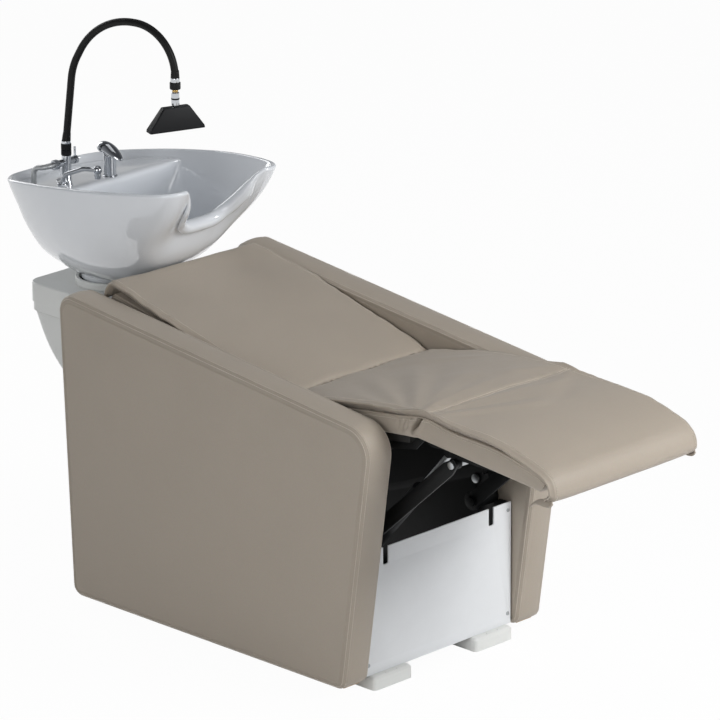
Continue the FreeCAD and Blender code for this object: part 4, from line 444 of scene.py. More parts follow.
def plated_metal(name, tint, rough, spread, scratch=(30.0, 30.0, 500.0), depth=0.1):
    """Plated or polished metal; faint smears in the gloss, drawn along the piece."""
    material, tree, body, where = new_material(name, Base_Color=tint, Metallic=1.0, Roughness=rough)
    turned = add_node(tree, "ShaderNodeMapping", {"Scale": scratch}, {"Vector": where})
    lines = add_node(tree, "ShaderNodeTexNoise", {"Scale": 1.0, "Detail": 4.0}, {"Vector": turned.outputs[0]})
    roughness_between(tree, body, rough, rough + spread, lines.outputs["Fac"])
    relief(tree, body, lines.outputs["Fac"], 0.0001, depth)
    return material


def plywood(name, pale, dark):
    """Birch plywood: pale face veneer with long figure and darker glue lines on its edges."""
    material, tree, body, where = new_material(name, Base_Color=pale, Roughness=0.6)
    turned = add_node(tree, "ShaderNodeMapping", {"Scale": (18.0, 2.5, 120.0)}, {"Vector": where})
    figure = add_node(tree, "ShaderNodeTexNoise", {"Scale": 1.0, "Detail": 6.0, "Distortion": 0.8},
                      {"Vector": turned.outputs[0]})
    tone_between(tree, body, pale, dark, figure.outputs["Fac"])
    relief(tree, body, figure.outputs["Fac"], 0.0004, 0.3)
    return material


MATERIALS = {}


# Settings a user would change

def colour(label, text, code):
    return bpy.props.FloatVectorProperty(name=label, description=text, default=linear(code), size=4,
                                         subtype="COLOR", min=0.0, max=1.0)


def length(label, text, value):
    return bpy.props.FloatProperty(name=label, description=text, default=value * MM, unit="LENGTH",
                                   subtype="DISTANCE")


class WashBedSizes(bpy.types.PropertyGroup):
    """Sizes of the worked details."""
    seam_inset: length("Seam inset", "From the arm's outline to the seam on its faces", 14.0)
    seam_depth: length("Seam depth", "How deep a sewn seam is drawn in", 2.2)
    band_crown: length("Band crown", "How far the boxing band of an arm stands up in its middle", 3.0)
    face_crown: length("Face crown", "How far the padding fills the outer face of an arm", 3.0)
    stitch_pitch: length("Stitch pitch", "From one stitch to the next", 6.0)
    stitch_length: length("Stitch length", "Length of one stitch", 4.8)
    thread_radius: length("Thread radius", "Half the thickness of the sewing thread", 0.6)
    mat_half_width: length("Mat half width", "Half the width of the loose mats", MAT_HALF_WIDTH)
    mat_thickness: length("Mat thickness", "From the top skin of a mat to its lower skin", 19.0)
    cushion_half_width: length("Cushion half width", "Half the width of the cushions", 234.0)
    edge_wave: length("Edge wave", "How far a mat's bound edge wanders", 2.2)


class WashBedColours(bpy.types.PropertyGroup):
    """Colours of the finishes."""
    upholstery: colour("Upholstery", "Taupe of the coated cloth", "#ADA294")
    upholstery_dark: colour("Upholstery shade", "Darker drift in the coated cloth", "#AA9F91")
    upholstery_light: colour("Upholstery light", "Paler drift in the coated cloth", "#B0A597")
    thread: colour("Thread", "Sewing thread along the seams", "#E2DBD0")
    china: colour("China", "Glazed white of the basin", "#E6E9ED")
    china_shade: colour("China shade", "Where the glaze is thinner", "#DFE3E8")
    white_plastic: colour("White plastic", "Pedestal, collar and feet", "#E9EAE7")
    white_paint: colour("White paint", "Front panel", "#ECEEF0")
    black_paint: colour("Black paint", "Steelwork", "#111213")
    black_plastic: colour("Black plastic", "Spray head and nuts", "#141518")
    chrome: colour("Chrome", "Polished plating of the fittings", "#C3C6CA")
    zinc: colour("Zinc", "Plated bolts, shafts and rods", "#B9BCBE")
    braid: colour("Braid", "Woven steel wire of the supply pipe", "#B9BBBC")
    brass: colour("Brass", "Bare brass of the spray's neck", "#B99A5F")
    rubber: colour("Rubber", "Cover of the gooseneck hose", "#131313")
    timber: colour("Timber", "Birch plywood", "#CDAF83")
    # Painted shade: the boards under the cushions get a near-black tone for the shade they sit in, instead of
    # the pale birch of the other plywood
    stain: colour("Shaded timber", "Painted shade: near-black tone of the boards under the cushions", "#1F1D1B")


def sizes():
    return bpy.context.scene.washbed_sizes


def colours():
    return bpy.context.scene.washbed_colours


def mm_of(value):
    """A length property in the millimetres that the tables use."""
    return value / MM


# Repeats: stitches and screw heads

def repeat_group(name, inputs):
    """A node group that takes a geometry, named inputs and a material, with its sockets' identifiers."""
    tree = bpy.data.node_groups.new(name, "GeometryNodeTree")
    face = tree.interface
    face.new_socket("Geometry", in_out="INPUT", socket_type="NodeSocketGeometry")
    sockets = {}
    for label, kind in (inputs | {"Material": "Material"}).items():
        socket = face.new_socket(label, in_out="INPUT", socket_type="NodeSocket" + kind)
        sockets[label] = socket.identifier
    face.new_socket("Geometry", in_out="OUTPUT", socket_type="NodeSocketGeometry")
    return tree, add_node(tree, "NodeGroupInput").outputs, sockets


def end_group(tree, given, laid, smooth=False):
    """Makes the instances real and dresses them in the material."""
    last = add_node(tree, "GeometryNodeRealizeInstances", links={"Geometry": laid.outputs["Instances"]})
    if smooth:
        last = add_node(tree, "GeometryNodeSetShadeSmooth", links={"Geometry": last.outputs["Geometry"]})
    last = add_node(tree, "GeometryNodeSetMaterial",
                    links={"Geometry": last.outputs["Geometry"], "Material": given["Material"]})
    result = add_node(tree, "NodeGroupOutput")
    tree.links.new(last.outputs["Geometry"], result.inputs["Geometry"])


def run_group(piece, tree, sockets, values):
    """Runs a node group on a piece and keeps what it makes as a plain mesh."""
    modifier = piece.modifiers.new("repeats", "NODES")
    modifier.node_group = tree
    for label, value in values.items():
        modifier[sockets[label]] = value
    return apply_modifiers(piece)


def stitch_tree():
    """Lays small thread stitches along every run of edges."""
    tree, given, sockets = repeat_group("Sewn stitches", {"Pitch": "Float", "Stitch length": "Float",
                                                          "Thread radius": "Float"})
    run = add_node(tree, "GeometryNodeMeshToCurve", links={"Mesh": given["Geometry"]})
    even = add_node(tree, "GeometryNodeResampleCurve", {"mode": "LENGTH"},
                    {"Curve": run.outputs["Curve"], "Length": given["Pitch"]})
    tangent = add_node(tree, "GeometryNodeInputTangent")
    turn = add_node(tree, "FunctionNodeAlignRotationToVector", {"axis": "Z"},
                    {"Vector": tangent.outputs["Tangent"]})
    bar = add_node(tree, "GeometryNodeMeshCylinder", {"Vertices": 5, "Fill Segments": 1},
                   {"Radius": given["Thread radius"], "Depth": given["Stitch length"]})
    laid = add_node(tree, "GeometryNodeInstanceOnPoints",
                    links={"Points": even.outputs["Curve"], "Instance": bar.outputs["Mesh"],
                           "Rotation": turn.outputs["Rotation"]})
    end_group(tree, given, laid, smooth=True)
    return tree, sockets


def screw_tree():
    """Puts the given screw head on every point of the input."""
    tree, given, sockets = repeat_group("Screw heads", {"Head radius": "Float", "Head": "Object"})
    shape = add_node(tree, "GeometryNodeObjectInfo", links={"Object": given["Head"]})
    laid = add_node(tree, "GeometryNodeInstanceOnPoints",
                    links={"Points": given["Geometry"], "Instance": shape.outputs["Geometry"],
                           "Scale": given["Head radius"]})
    end_group(tree, given, laid)
    return tree, sockets


STITCHING = []


def sewn(name, runs, bends=False):
    """Stitches of pale thread along runs of points, as one plain mesh."""
    if not STITCHING:
        STITCHING.extend(stitch_tree())
    verts, edges = [], []
    for run in runs:
        start = len(verts)
        verts += [tuple(p) for p in run]
        edges += [(start + i, start + i + 1) for i in range(len(run) - 1)]
    mesh = bpy.data.meshes.new(name)
    mesh.from_pydata(verts, edges, [])
    piece = run_group(scene_object(name, mesh), *STITCHING,
                      {"Pitch": sizes().stitch_pitch, "Stitch length": sizes().stitch_length,
                       "Thread radius": sizes().thread_radius, "Material": MATERIALS["thread"]})
    upholster(piece, bends)


def upholster(piece, bends, nodes=()):
    """Fixes a soft piece to the base; a piece that spans the hinge is left on no body, with its nodes hidden
    and its place baked into its mesh.
    """
    if bends:
        if nodes:
            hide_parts(*nodes)
    else:
        place_piece(piece, "base", "leather", *nodes)
    if bends:
        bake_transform(piece)
# Arms

# An arm's outline in side view, as (y, z) corners and the radius of each
ARM_CORNERS = ((0.0, 26.0), (904.5, 26.0), (939.9, 775.8), (-90.7, 664.2))
ARM_RADII = (28.0, 28.0, 42.0, 72.0)
ARC_STEPS, BAND_STEPS = 16, 12


def rounded_outline(corners, radii, step):
    """Closed even run of (y, z) points round a polygon with arcs at its corners."""
    points = []
    count = len(corners)
    for i, corner in enumerate(corners):
        here = Vector(corner)
        to_before = (Vector(corners[i - 1]) - here).normalized()
        to_after = (Vector(corners[(i + 1) % count]) - here).normalized()
        half = to_before.angle(to_after) / 2
        reach = radii[i] / math.tan(half)
        centre = here + (to_before + to_after).normalized() * radii[i] / math.sin(half)
        start, end = here + to_before * reach, here + to_after * reach
        a0 = math.atan2(start.y - centre.y, start.x - centre.x)
        a1 = math.atan2(end.y - centre.y, end.x - centre.x)
        turned = (a1 - a0 + math.pi) % (2 * math.pi) - math.pi
        for k in range(ARC_STEPS + 1):
            a = a0 + turned * k / ARC_STEPS
            points.append((centre.x + radii[i] * math.cos(a), centre.y + radii[i] * math.sin(a)))
    return resample(points + points[:1], step)[:-1]


def closed_normals(points):
    """Outward unit normals of a closed run that goes anticlockwise."""
    normals = []
    for i in range(len(points)):
        a, b = points[i - 1], points[(i + 1) % len(points)]
        dy, dz = b[0] - a[0], b[1] - a[1]
        size = math.hypot(dy, dz)
        normals.append((dz / size, -dy / size))
    return normals


def arm_profile(thickness, seam, crown, depth):
    """(distance in from the outer face, distance in from the outline) across an arm's band."""
    half = [(depth * 0.9, seam), (-0.5, seam - 2.6)]
    for degrees in (22, 34, 46, 58, 70, 80):
        a = math.radians(degrees)
        half.append((seam * (1 - math.cos(a)), seam * (1 - math.sin(a))))
    flat = thickness - 2 * seam
    band = []
    for k in range(BAND_STEPS + 1):
        share = k / BAND_STEPS
        band.append((seam + flat * share, -crown * math.sin(math.pi * share) ** 0.8))
    return half + band + [(thickness - d, i) for d, i in reversed(half)]


# An arm's face from its middle to its rim: (share of the way out, share of the crown)
FACE_RINGS = ((0.02, 1.0), (0.14, 1.0), (0.3, 0.97), (0.5, 0.9), (0.68, 0.75), (0.82, 0.5), (0.92, 0.25),
              (0.97, 0.08))
# Its last two rings beside the seam: (mm beyond the seam's inset, height in mm)
SEAM_RINGS = ((5.5, 0.5), (2.4, 0.4))
INNER_FACE_CROWN = 1.0
OUTLINE_STEP = 8.0
# Where the rows of top stitching lie on a seam's round, in degrees from the face, and their height
TOP_STITCH_ANGLES = (28, 64)
TOP_STITCH_LIFT = 0.35


def arm_cover(side, outline, normals):
    """The sewn cover of one arm: outer face, boxing band and inner face in one closed skin."""
    seam = mm_of(sizes().seam_inset)
    depth = mm_of(sizes().seam_depth)
    full = mm_of(sizes().face_crown)
    thickness = ARM_OUTER - ARM_INNER
    centre = (sum(p[0] for p in outline) / len(outline), sum(p[1] for p in outline) / len(outline))

    def face_rings(outer):
        crown = full if outer else INNER_FACE_CROWN
        kinds = [("face", share, crown * fill) for share, fill in FACE_RINGS]
        kinds += [("edge", seam + beyond, height) for beyond, height in SEAM_RINGS]
        return [[spot(*kind, i, outer) for i in range(len(outline))] for kind in kinds]

    def spot(kind, first, second, i, outer):
        (y, z), (ny, nz) = outline[i], normals[i]
        if kind == "face":
            inner_y, inner_z = y - ny * (seam + 8), z - nz * (seam + 8)
            py = centre[0] + (inner_y - centre[0]) * first
            pz = centre[1] + (inner_z - centre[1]) * first
        else:
            py, pz = y - ny * first, z - nz * first
        pucker = ripple(py, pz, 0, 21, 5.0) * 0.7 * (1 if kind == "edge" else bump(first, 1.0, 0.06))
        drift = ripple(py, pz, 40, 190, 2.0) * 1.2
        lift = second + pucker + (drift if outer else 0)
        face_x = ARM_OUTER if outer else ARM_INNER
        return at(side * (face_x + (lift if outer else -lift)), py, pz)

    rings = face_rings(True)
    for distance, inset in arm_profile(thickness, seam, mm_of(sizes().band_crown), depth):
        ring = []
        for i, ((y, z), (ny, nz)) in enumerate(zip(outline, normals)):
            near_seam = bump(distance, 0, 16) + bump(distance, thickness, 16)
            soft = ripple(y, z, distance * 2, 26, 1.0) * 0.8 * min(near_seam, 1.0)
            soft += ripple(y, z, distance, 120, 4.0) * 1.0 * bump(distance, thickness / 2, 26)
            inside = inset - soft
            floor_share = min(max((z - 30) / 20, 0.0), 1.0)
            inside = inside if inside > 0 else inside * floor_share
            ring.append(at(side * (ARM_OUTER - distance), y - ny * inside, z - nz * inside))
        rings.append(ring)
    rings += reversed(face_rings(False))
    name = "left_arm_cover_skin" if side < 0 else "right_arm_cover_skin"
    return new_piece(name, *closed_rings(rings), MATERIALS["leather"])


def arm_seam_runs(side, outline, normals):
    """Two rows of top stitching along each seam, one on the face and one on the band."""
    seam = mm_of(sizes().seam_inset)
    runs = []
    for outer in (True, False):
        for degrees in TOP_STITCH_ANGLES:
            a = math.radians(degrees)
            distance, inset = seam * (1 - math.cos(a)), seam * (1 - math.sin(a))
            run = []
            for (y, z), (ny, nz) in zip(outline, normals):
                x = ARM_OUTER - distance if outer else ARM_INNER + distance
                out = inset - TOP_STITCH_LIFT
                lift = TOP_STITCH_LIFT if outer else -TOP_STITCH_LIFT
                run.append(at(side * (x + lift), y - ny * out, z - nz * out))
            runs.append(run + run[:1])
    return runs


class WASHBED_OT_arms(bpy.types.Operator):
    """Upholstered arms with a crowned boxing band and sewn seams"""
    bl_idname = "washbed.arms"
    bl_label = "Padded arms"

    def execute(self, context):
        outline = rounded_outline(ARM_CORNERS, ARM_RADII, OUTLINE_STEP)
        normals = closed_normals(outline)
        for side, label in ((-1, "left"), (1, "right")):
            upholster(arm_cover(side, outline, normals), False, (label + "_arm_cover",))
            sewn(label + "_arm_stitches", arm_seam_runs(side, outline, normals))
        return {"FINISHED"}


# Mats and cushions

# Middle of each mat's top in side view, as (y, z), from its head end towards the feet
BACK_LINE = ((877.0, 758.0), (873.0, 772.0), (863.0, 785.0), (846.0, 794.0), (816.7, 788.3), (749.0, 773.6),
             (652.9, 752.4), (562.5, 731.2), (472.1, 707.9), (376.1, 681.8), (280.0, 655.0))
LOWER_LINE = ((272.0, 655.0), (260.0, 658.0), (188.6, 670.8), (100.8, 686.6), (-0.2, 702.5), (-92.4, 712.9),
              (-150.0, 717.2), (-171.0, 717.5), (-192.0, 717.0), (-257.3, 712.2), (-343.6, 709.0),
              (-406.3, 702.0), (-465.1, 690.5), (-519.9, 673.8), (-549.4, 656.6), (-563.1, 637.4),
              (-567.0, 615.6), (-560.0, 602.0), (-542.0, 592.0))
CROSS_SEAM_Y = -171.0


def crossing_shares(top_count):
    """Places across a mat from its left edge to its right, closer together near the edges."""
    return [math.sin(math.pi / 2 * (2 * k / top_count - 1)) * 0.55 + (2 * k / top_count - 1) * 0.45
            for k in range(top_count + 1)]


def rounded_drop(share, power):
    """How far a padded surface has dropped, as a share: flat in the middle, steep at its edge."""
    return 1 - (max(1 - abs(share) ** power, 0.0)) ** (1 / power)


def end_share(i, count, step, reach):
    """Thickness left near the ends of a run, as a share that falls in a quarter round."""
    distance = min(i, count - 1 - i) * step
    if distance >= reach:
        return 1.0
    return max(math.sqrt(1 - (1 - distance / reach) ** 2), 0.12)


def back_creases(x, y):
    """Shallow creases across the back mat, deepest where the padding is used most."""
    low = ripple(x, y, 0, 165, 7.0) * 3.2 + ripple(x, y, 0, 70, 3.0) * 1.2
    drag = math.sin((x + 0.35 * y) / 26 + 2 * ripple(x, y, 0, 150, 1.0)) * bump(y, 285, 38) * 1.5
    return low + drag


def fold_line(x, y, start, end, width, height):
    """A soft fold that runs from one place on the mat to another and dies out at its ends."""
    dx, dy = end[0] - start[0], end[1] - start[1]
    size = math.hypot(dx, dy)
    s = ((x - start[0]) * dx + (y - start[1]) * dy) / (size * size)
    if s < -0.2 or s > 1.25:
        return 0.0
    off = ((x - start[0]) * -dy + (y - start[1]) * dx) / size + 7 * math.sin(3.0 * s + start[0])
    spread = width * (0.55 + 0.8 * min(max(s, 0), 1))
    fade = min(max((s + 0.2) / 0.35, 0), 1) * min(max((1.25 - s) / 0.5, 0), 1)
    ridge = math.exp(-(off / spread) ** 2) - 0.55 * math.exp(-((off - 1.7 * spread) / spread) ** 2)
    return height * fade * ridge


# Folds of the lower mat: start, end, width and height of each
FOLDS = (((-232, -128), (40, 120), 24, 5.0), ((-228, -100), (-60, 190), 19, 2.8),
         ((-225, -150), (120, 20), 26, 3.6), ((-228, -160), (130, -95), 15, 2.2),
         ((-225, -186), (60, -330), 18, 3.4), ((-228, -182), (150, -215), 11, 2.2),
         ((226, -186), (-10, -300), 24, 2.4), ((228, -150), (40, -40), 24, 2.0),
         ((-236, -60), (-190, 110), 12, 2.4), ((200, 60), (60, 220), 22, 2.6))


def lower_creases(x, y):
    """Hollows beside the cross seam, puckers along it and folds drawn from its two ends."""
    low = ripple(x, y, 0, 150, 11.0) * 2.6 + ripple(x, y, 0, 60, 9.0) * 0.8
    seam = abs(y - CROSS_SEAM_Y)
    valley = -4.5 * math.exp(-(seam / 5.0) ** 2) - 3.0 * math.exp(-(seam / 30.0) ** 2)
    pucker = math.sin(x / 6.5 + 5 * ripple(x, 0, 0, 60, 2.0)) * 0.8 * math.exp(-(seam - 12) ** 2 / 220)
    pull = sum(fold_line(x, y, *fold) for fold in FOLDS)
    calm = min(max((y + 560) / 60, 0.15), 1)
    drag = math.sin((x - 0.3 * y) / 24) * bump(y, 262, 34) * 1.4
    return (low + drag) * calm + valley + pucker + pull


def table_value(table, place):
    """Straight-line reading of a table of (place, value) pairs whose places fall."""
    if place >= table[0][0]:
        return table[0][1]
    for (a, va), (b, vb) in zip(table, table[1:]):
        if place >= b:
            return va + (vb - va) * (a - place) / (a - b)
    return table[-1][1]


# How far a mat's bound edge lies below its middle, by place along the bed
LOWER_EDGE = ((272, 9.0), (180, 5.0), (98, 2.0), (-28, 3.0), (-75, 7.0), (-112, 2.0), (-150, -6.0),
              (-176, -5.0), (-215, 1.0), (-276, 4.0), (-350, 8.0), (-420, 10.0), (-560, 12.0))
BACK_EDGE = ((877, 12.0), (846, 7.0), (780, 3.0), (700, 5.0), (600, 9.0), (280, 11.0))


def back_lie(x, y):
    """The back mat lies lower on the right at its top end, and its left corner stands up a little."""
    raised = 9.0 * eased(-x, 120, MAT_HALF_WIDTH) * bump(y, 830, 55)
    return raised - 6.0 * eased(x, -120, 200) * eased(y, 640, 860)


def lower_lie(x, y):
    """The lower mat sags a little on the right, beside the cross seam."""
    return -10.0 * eased(x, 20, MAT_HALF_WIDTH) * bump(y, -185, 110)


MAT_STEP = 4.0
MAT_COLUMNS = 64
MAT_END_REACH = 22.0
# Powers that keep a mat flat before it drops to its edge, and its edge's wander near the edge
TOP_FLATNESS, UNDER_FLATNESS, EDGE_POWER = 5.5, 7.0, 10
UNDER_EDGE_DROP = 5.2
SWAY_ACROSS = 0.35
# How far the thread stands up along the edges and the cross seam, and where its rows lie beside the seam
EDGE_THREAD_LIFT, SEAM_THREAD_LIFT = 0.35, 0.6
SEAM_ROWS = (5.0, -5.0)
# The binding in section: (share of its width out from the edge, height)
BINDING_WIDTH = 4.4
BINDING = ((0.5, 1.6), (0.92, 0.6), (1.0, -1.6), (0.8, -3.6), (0.2, -4.6))


def edge_sway(side, y, wave):
    """How far a mat's bound edge wanders at a place along the bed."""
    return (ripple(0, y, 20 * side, 48, 6.0) * wave * 1.6
            + ripple(0, y, 60, 17, 2.0 if side > 0 else 9.0) * wave * 0.45)


def mat(name, line, creases, edge_table, lie):
    """A loose padded mat: a top skin and a lower skin that meet in a bound edge."""
    run = smooth_run(line, MAT_STEP)
    normals = run_normals(run)
    half = mm_of(sizes().mat_half_width)
    thick = mm_of(sizes().mat_thickness)
    wave = mm_of(sizes().edge_wave)
    shares = crossing_shares(MAT_COLUMNS)
    rings, top_rows = [], ([], [])
    for i, ((y, z), (ny, nz)) in enumerate(zip(run, normals)):
        fill = end_share(i, len(run), MAT_STEP, MAT_END_REACH)
        edge_drop = table_value(edge_table, y)
        middle = -edge_drop

        def spot(x, n):
            n += lie(x, y)
            return at(x, y + ny * n, z + nz * n)

        ring = []
        for share in shares:
            drop = edge_drop * rounded_drop(share, TOP_FLATNESS)
            x = share * half
            edge = abs(share) ** EDGE_POWER
            sway = edge_sway(1 if share > 0 else -1, y, wave)
            n = -drop + creases(x, y) * (1 - edge) + sway * edge
            n = middle + (n - middle) * fill
            ring.append(spot(x + sway * SWAY_ACROSS * edge, n))
        welt = []
        for side in (1, -1):
            sway = edge_sway(side, y, wave)
            welt.append((side * half + sway * SWAY_ACROSS, middle + sway * fill))
        (rx, rn), (lx, ln) = welt
        ring += [spot(rx + BINDING_WIDTH * out, rn + up) for out, up in BINDING]
        for share in shares[::-2]:
            low = -thick + (thick - edge_drop) * rounded_drop(share, UNDER_FLATNESS)
            edge = abs(share) ** EDGE_POWER
            sway = rn - middle if share > 0 else ln - middle
            n = low + sway * edge - UNDER_EDGE_DROP * edge
            n = middle + (n - middle) * fill
            ring.append(spot(share * half, n))
        ring += [spot(lx - BINDING_WIDTH * out, ln + up) for out, up in reversed(BINDING)]
        rings.append(ring)
        if 1 < i < len(run) - 2:
            for row, column in zip(top_rows, (3, len(shares) - 4)):
                row.append(ring[column] + Vector((0, ny, nz)) * EDGE_THREAD_LIFT * MM)
    piece = new_piece(name, *closed_rings(rings), MATERIALS["leather"])
    return piece, list(top_rows), rings, run, normals


CUSHION_STEP = 2.5
CUSHION_END_REACH = 14.0
CUSHION_COLUMNS = 12
# How far the cushions' tops and undersides lie below the mats' tops; the lower one rises at the cross seam
LOWER_TOP, LOWER_TOP_RISE, SEAT_UNDER = 21.5, 9.0, 71.0
BACK_TOP, BACK_UNDER = 22.5, 73.0
# The leg rest cushion's underside in side view, (y, z) at its front and at its back
LEG_UNDER_FRONT, LEG_UNDER_BACK = (-517.0, 612.0), (-143.0, 646.0)


def cushion_under(y):
    """Height of the leg rest cushion's lower face."""
    (front_y, front_z), (back_y, back_z) = LEG_UNDER_FRONT, LEG_UNDER_BACK
    return front_z + (back_z - front_z) * ((y - front_y) / (back_y - front_y))


def lower_cushion_shape():
    """Upper and lower runs of the seat and leg rest cushion, as (y, z) pairs."""
    run = smooth_run(LOWER_LINE, CUSHION_STEP)
    normals = run_normals(run)
    upper, lower = [], []
    for (y, z), (ny, nz) in zip(run, normals):
        sink = LOWER_TOP - LOWER_TOP_RISE * bump(y, -165, 60)
        top = (y - ny * sink, z - nz * sink)
        if y < -556 or (upper and top[1] < 622):
            break
        seat_low = (y - ny * SEAT_UNDER, z - nz * SEAT_UNDER)
        leg_low = (max(top[0], LEG_UNDER_FRONT[0] + 6), cushion_under(max(top[0], LEG_UNDER_FRONT[0])))
        t = eased(-y, 118, 144)
        upper.append(top)
        lower.append(tuple(a + (b - a) * t for a, b in zip(seat_low, leg_low)))
    return upper, lower


def back_cushion_shape():
    """Upper and lower runs of the back cushion, as (y, z) pairs."""
    run = smooth_run(BACK_LINE[3:], CUSHION_STEP)
    normals = run_normals(run)
    upper = [(y - ny * BACK_TOP, z - nz * BACK_TOP) for (y, z), (ny, nz) in zip(run, normals)]
    lower = [(y - ny * BACK_UNDER, z - nz * BACK_UNDER) for (y, z), (ny, nz) in zip(run, normals)]
    return upper, lower


def gathers(y, t):
    """How far the side of the lower cushion is drawn in at the fold beside the hinge."""
    lean = -122 - 30 * t
    crease = 48.0 * math.exp(-((y - lean) / (3.0 + 3.4 * t)) ** 4) * min(t / 0.15, 1)
    crease -= 5.0 * math.exp(-((y - lean - 15) / 6.0) ** 2) + 3.0 * math.exp(-((y - lean + 13) / 6.0) ** 2)
    folds = math.sin((y + 10 * t) / 2.6) * 3.6 + math.sin((y - 18 * t) / 5.3) * 4.6
    folds *= math.exp(-abs(y - lean - 24) / 20)
    return crease + folds * min(t * 1.6, 1)


# Places down a cushion's side band, from its top edge to its lower edge
FLANK_SHARES = (1.0, 0.92, 0.84, 0.72, 0.6, 0.48, 0.36, 0.24, 0.12, 0.0)


def cushion(name, shape, folded=False):
    """A boxed cushion: top panel, welt, side band and lower panel; also its two rows of stitches."""
    upper, lower = shape
    half = mm_of(sizes().cushion_half_width)
    rings, welts = [], ([], [])
    count = len(upper)
    for i, (top, low) in enumerate(zip(upper, lower)):
        fill = end_share(i, count, CUSHION_STEP, CUSHION_END_REACH)
        rise = Vector((top[0] - low[0], top[1] - low[1]))
        size = rise.length
        ny, nz = rise.x / size, rise.y / size
        mid = ((top[0] + low[0]) / 2, (top[1] + low[1]) / 2)

        def spot(x, n):
            n = (n - size / 2) * fill
            return at(x, mid[0] + ny * n, mid[1] + nz * n)

        def side_x(t, side):
            y = low[0] + (top[0] - low[0]) * t
            swell = 1.8 * math.sin(math.pi * t) ** 0.7 + ripple(side * 50, y, t * 60, 70, 4.0) * 1.1
            return side * (half + swell - (gathers(y, t) if folded else 0.0))

        ring = []
        for k in range(CUSHION_COLUMNS + 1):
            share = -1 + 2 * k / CUSHION_COLUMNS
            ring.append(spot(share * (half - 1.5), size - 0.4 + 0.8 * (1 - share ** 4)))
        for side in (1, -1):
            wobble = ripple(side * 70, top[0], 0, 34, 8.0) * 1.4
            welt = [(half + 1.2, -0.6), (half + 3.2, -1.2), (half + 3.2, -2.8), (half + 1.0, -3.6)]
            flank = [(abs(side_x(t, side)), -5.0 - (size - 17.0) * (1 - t)) for t in FLANK_SHARES]
            corner = [(half - 2.0, -(size - 6.0)), (half - 6.5, -(size - 1.8)), (half - 12.0, -size + 0.3)]
            points = [(x, n + wobble) for x, n in welt] + flank + corner
            points = [spot(side * x, size + n) for x, n in points]
            if side > 0:
                ring += points
                for k in range(1, CUSHION_COLUMNS):
                    share = 1 - 2 * k / CUSHION_COLUMNS
                    ring.append(spot(share * (half - 12.0), -1.0 * (1 - share ** 2)))
            else:
                ring += points[::-1]
            if 1 < i < count - 2:
                welts[0 if side > 0 else 1].append(spot(side * (abs(side_x(0.9, side)) + 0.5),
                                                        size - 9.5 + wobble))
        rings.append(ring)
    return new_piece(name, *closed_rings(rings), MATERIALS["leather"]), list(welts)


# A short settling of the padding: it moves no point by more than the cap, in mm
SETTLE_PRESSURE = 1.2
SETTLE_FRAMES = 10
SETTLE_CAP = 2.5


def held(place):
    """The bound edges, the cross seam and the ends stay put; the padding between them may move."""
    across = abs(place.x) / (MAT_HALF_WIDTH * MM)
    y = place.y / MM + ORIGIN_Y
    seam = math.exp(-((y - CROSS_SEAM_Y) / 12.0) ** 2)
    ends = max(bump(y, 877, 22), bump(y, 280, 12), bump(y, 268, 12), bump(y, -560, 22))
    return min(max(across ** 8, seam, ends, 0.0), 1.0)


def relax(piece):
    """Cloth under light pressure settles a mat's padding."""
    group = piece.vertex_groups.new(name="held")
    rest = [v.co.copy() for v in piece.data.vertices]
    for vertex in piece.data.vertices:
        group.add([vertex.index], held(vertex.co), "REPLACE")
    cloth = piece.modifiers.new("settle", "CLOTH")
    for key, value in {"use_pressure": True, "uniform_pressure_force": SETTLE_PRESSURE,
                       "vertex_group_mass": "held", "pin_stiffness": 1.0, "tension_stiffness": 40,
                       "compression_stiffness": 40, "shear_stiffness": 20, "bending_stiffness": 4,
                       "quality": 5}.items():
        setattr(cloth.settings, key, value)
    cloth.settings.effector_weights.gravity = 0
    cloth.collision_settings.use_collision = False
    scene = bpy.context.scene
    cloth.point_cache.frame_start = 1
    cloth.point_cache.frame_end = SETTLE_FRAMES
    for frame_number in range(1, SETTLE_FRAMES + 1):
        scene.frame_set(frame_number)
    settled = piece.evaluated_get(bpy.context.evaluated_depsgraph_get()).to_mesh()
    moved = [v.co.copy() for v in settled.vertices]
    piece.evaluated_get(bpy.context.evaluated_depsgraph_get()).to_mesh_clear()
    piece.modifiers.clear()
    piece.vertex_groups.clear()
    for vertex, start, end in zip(piece.data.vertices, rest, moved):
        step = end - start
        if step.length > SETTLE_CAP * MM:
            step = step.normalized() * SETTLE_CAP * MM
        vertex.co = start + step
    scene.frame_set(1)


class WASHBED_OT_cushions(bpy.types.Operator):
    """Boxed cushions on their boards, with welts and the gathered fold at the hinge"""
    bl_idname = "washbed.cushions"
    bl_label = "Cushions"

    def execute(self, context):
        back, welts = cushion("back_cushion_skin", back_cushion_shape())
        upholster(back, False, ("back_cushion",))
        sewn("back_cushion_stitches", welts)
        lower, welts = cushion("seat_and_leg_cushion_skin", lower_cushion_shape(), folded=True)
        upholster(lower, True, ("seat_cushion", "legrest_cushion"))
        sewn("seat_and_leg_cushion_stitches", welts, bends=True)
        return {"FINISHED"}


HEM_ROUTE = ((-556, 597), (-548, 590), (-536, 588), (-522, 590), (-508, 588), (-498, 583), (-491, 577))
# The flap in section below its top edge: (across, up)
HEM_LOOP = ((1.4, 3), (3.2, 1), (3.2, -1.5), (0, -3.4), (-3.2, -1.5), (-3.2, 1), (-1.4, 3))


def nose_hem(side):
    """The loose end of a mat's binding, which hangs in a small flap under the leg rest's nose."""
    rings = []
    for i, (y, z) in enumerate(smooth_run(HEM_ROUTE, 4.0)):
        x = side * (MAT_HALF_WIDTH - 2) + 2.0 * math.sin(i / 2.0)
        top = max(604.0 + (z + 4.0 - 604.0) * eased(y, -530, -496), z + 4.0)
        flap = [at(x + out, y, z + up) for out, up in HEM_LOOP]
        rings.append([at(x - 1.0, y, top), at(x + 1.0, y, top)] + flap)
    return new_piece("hem", *closed_rings(rings), MATERIALS["leather"])


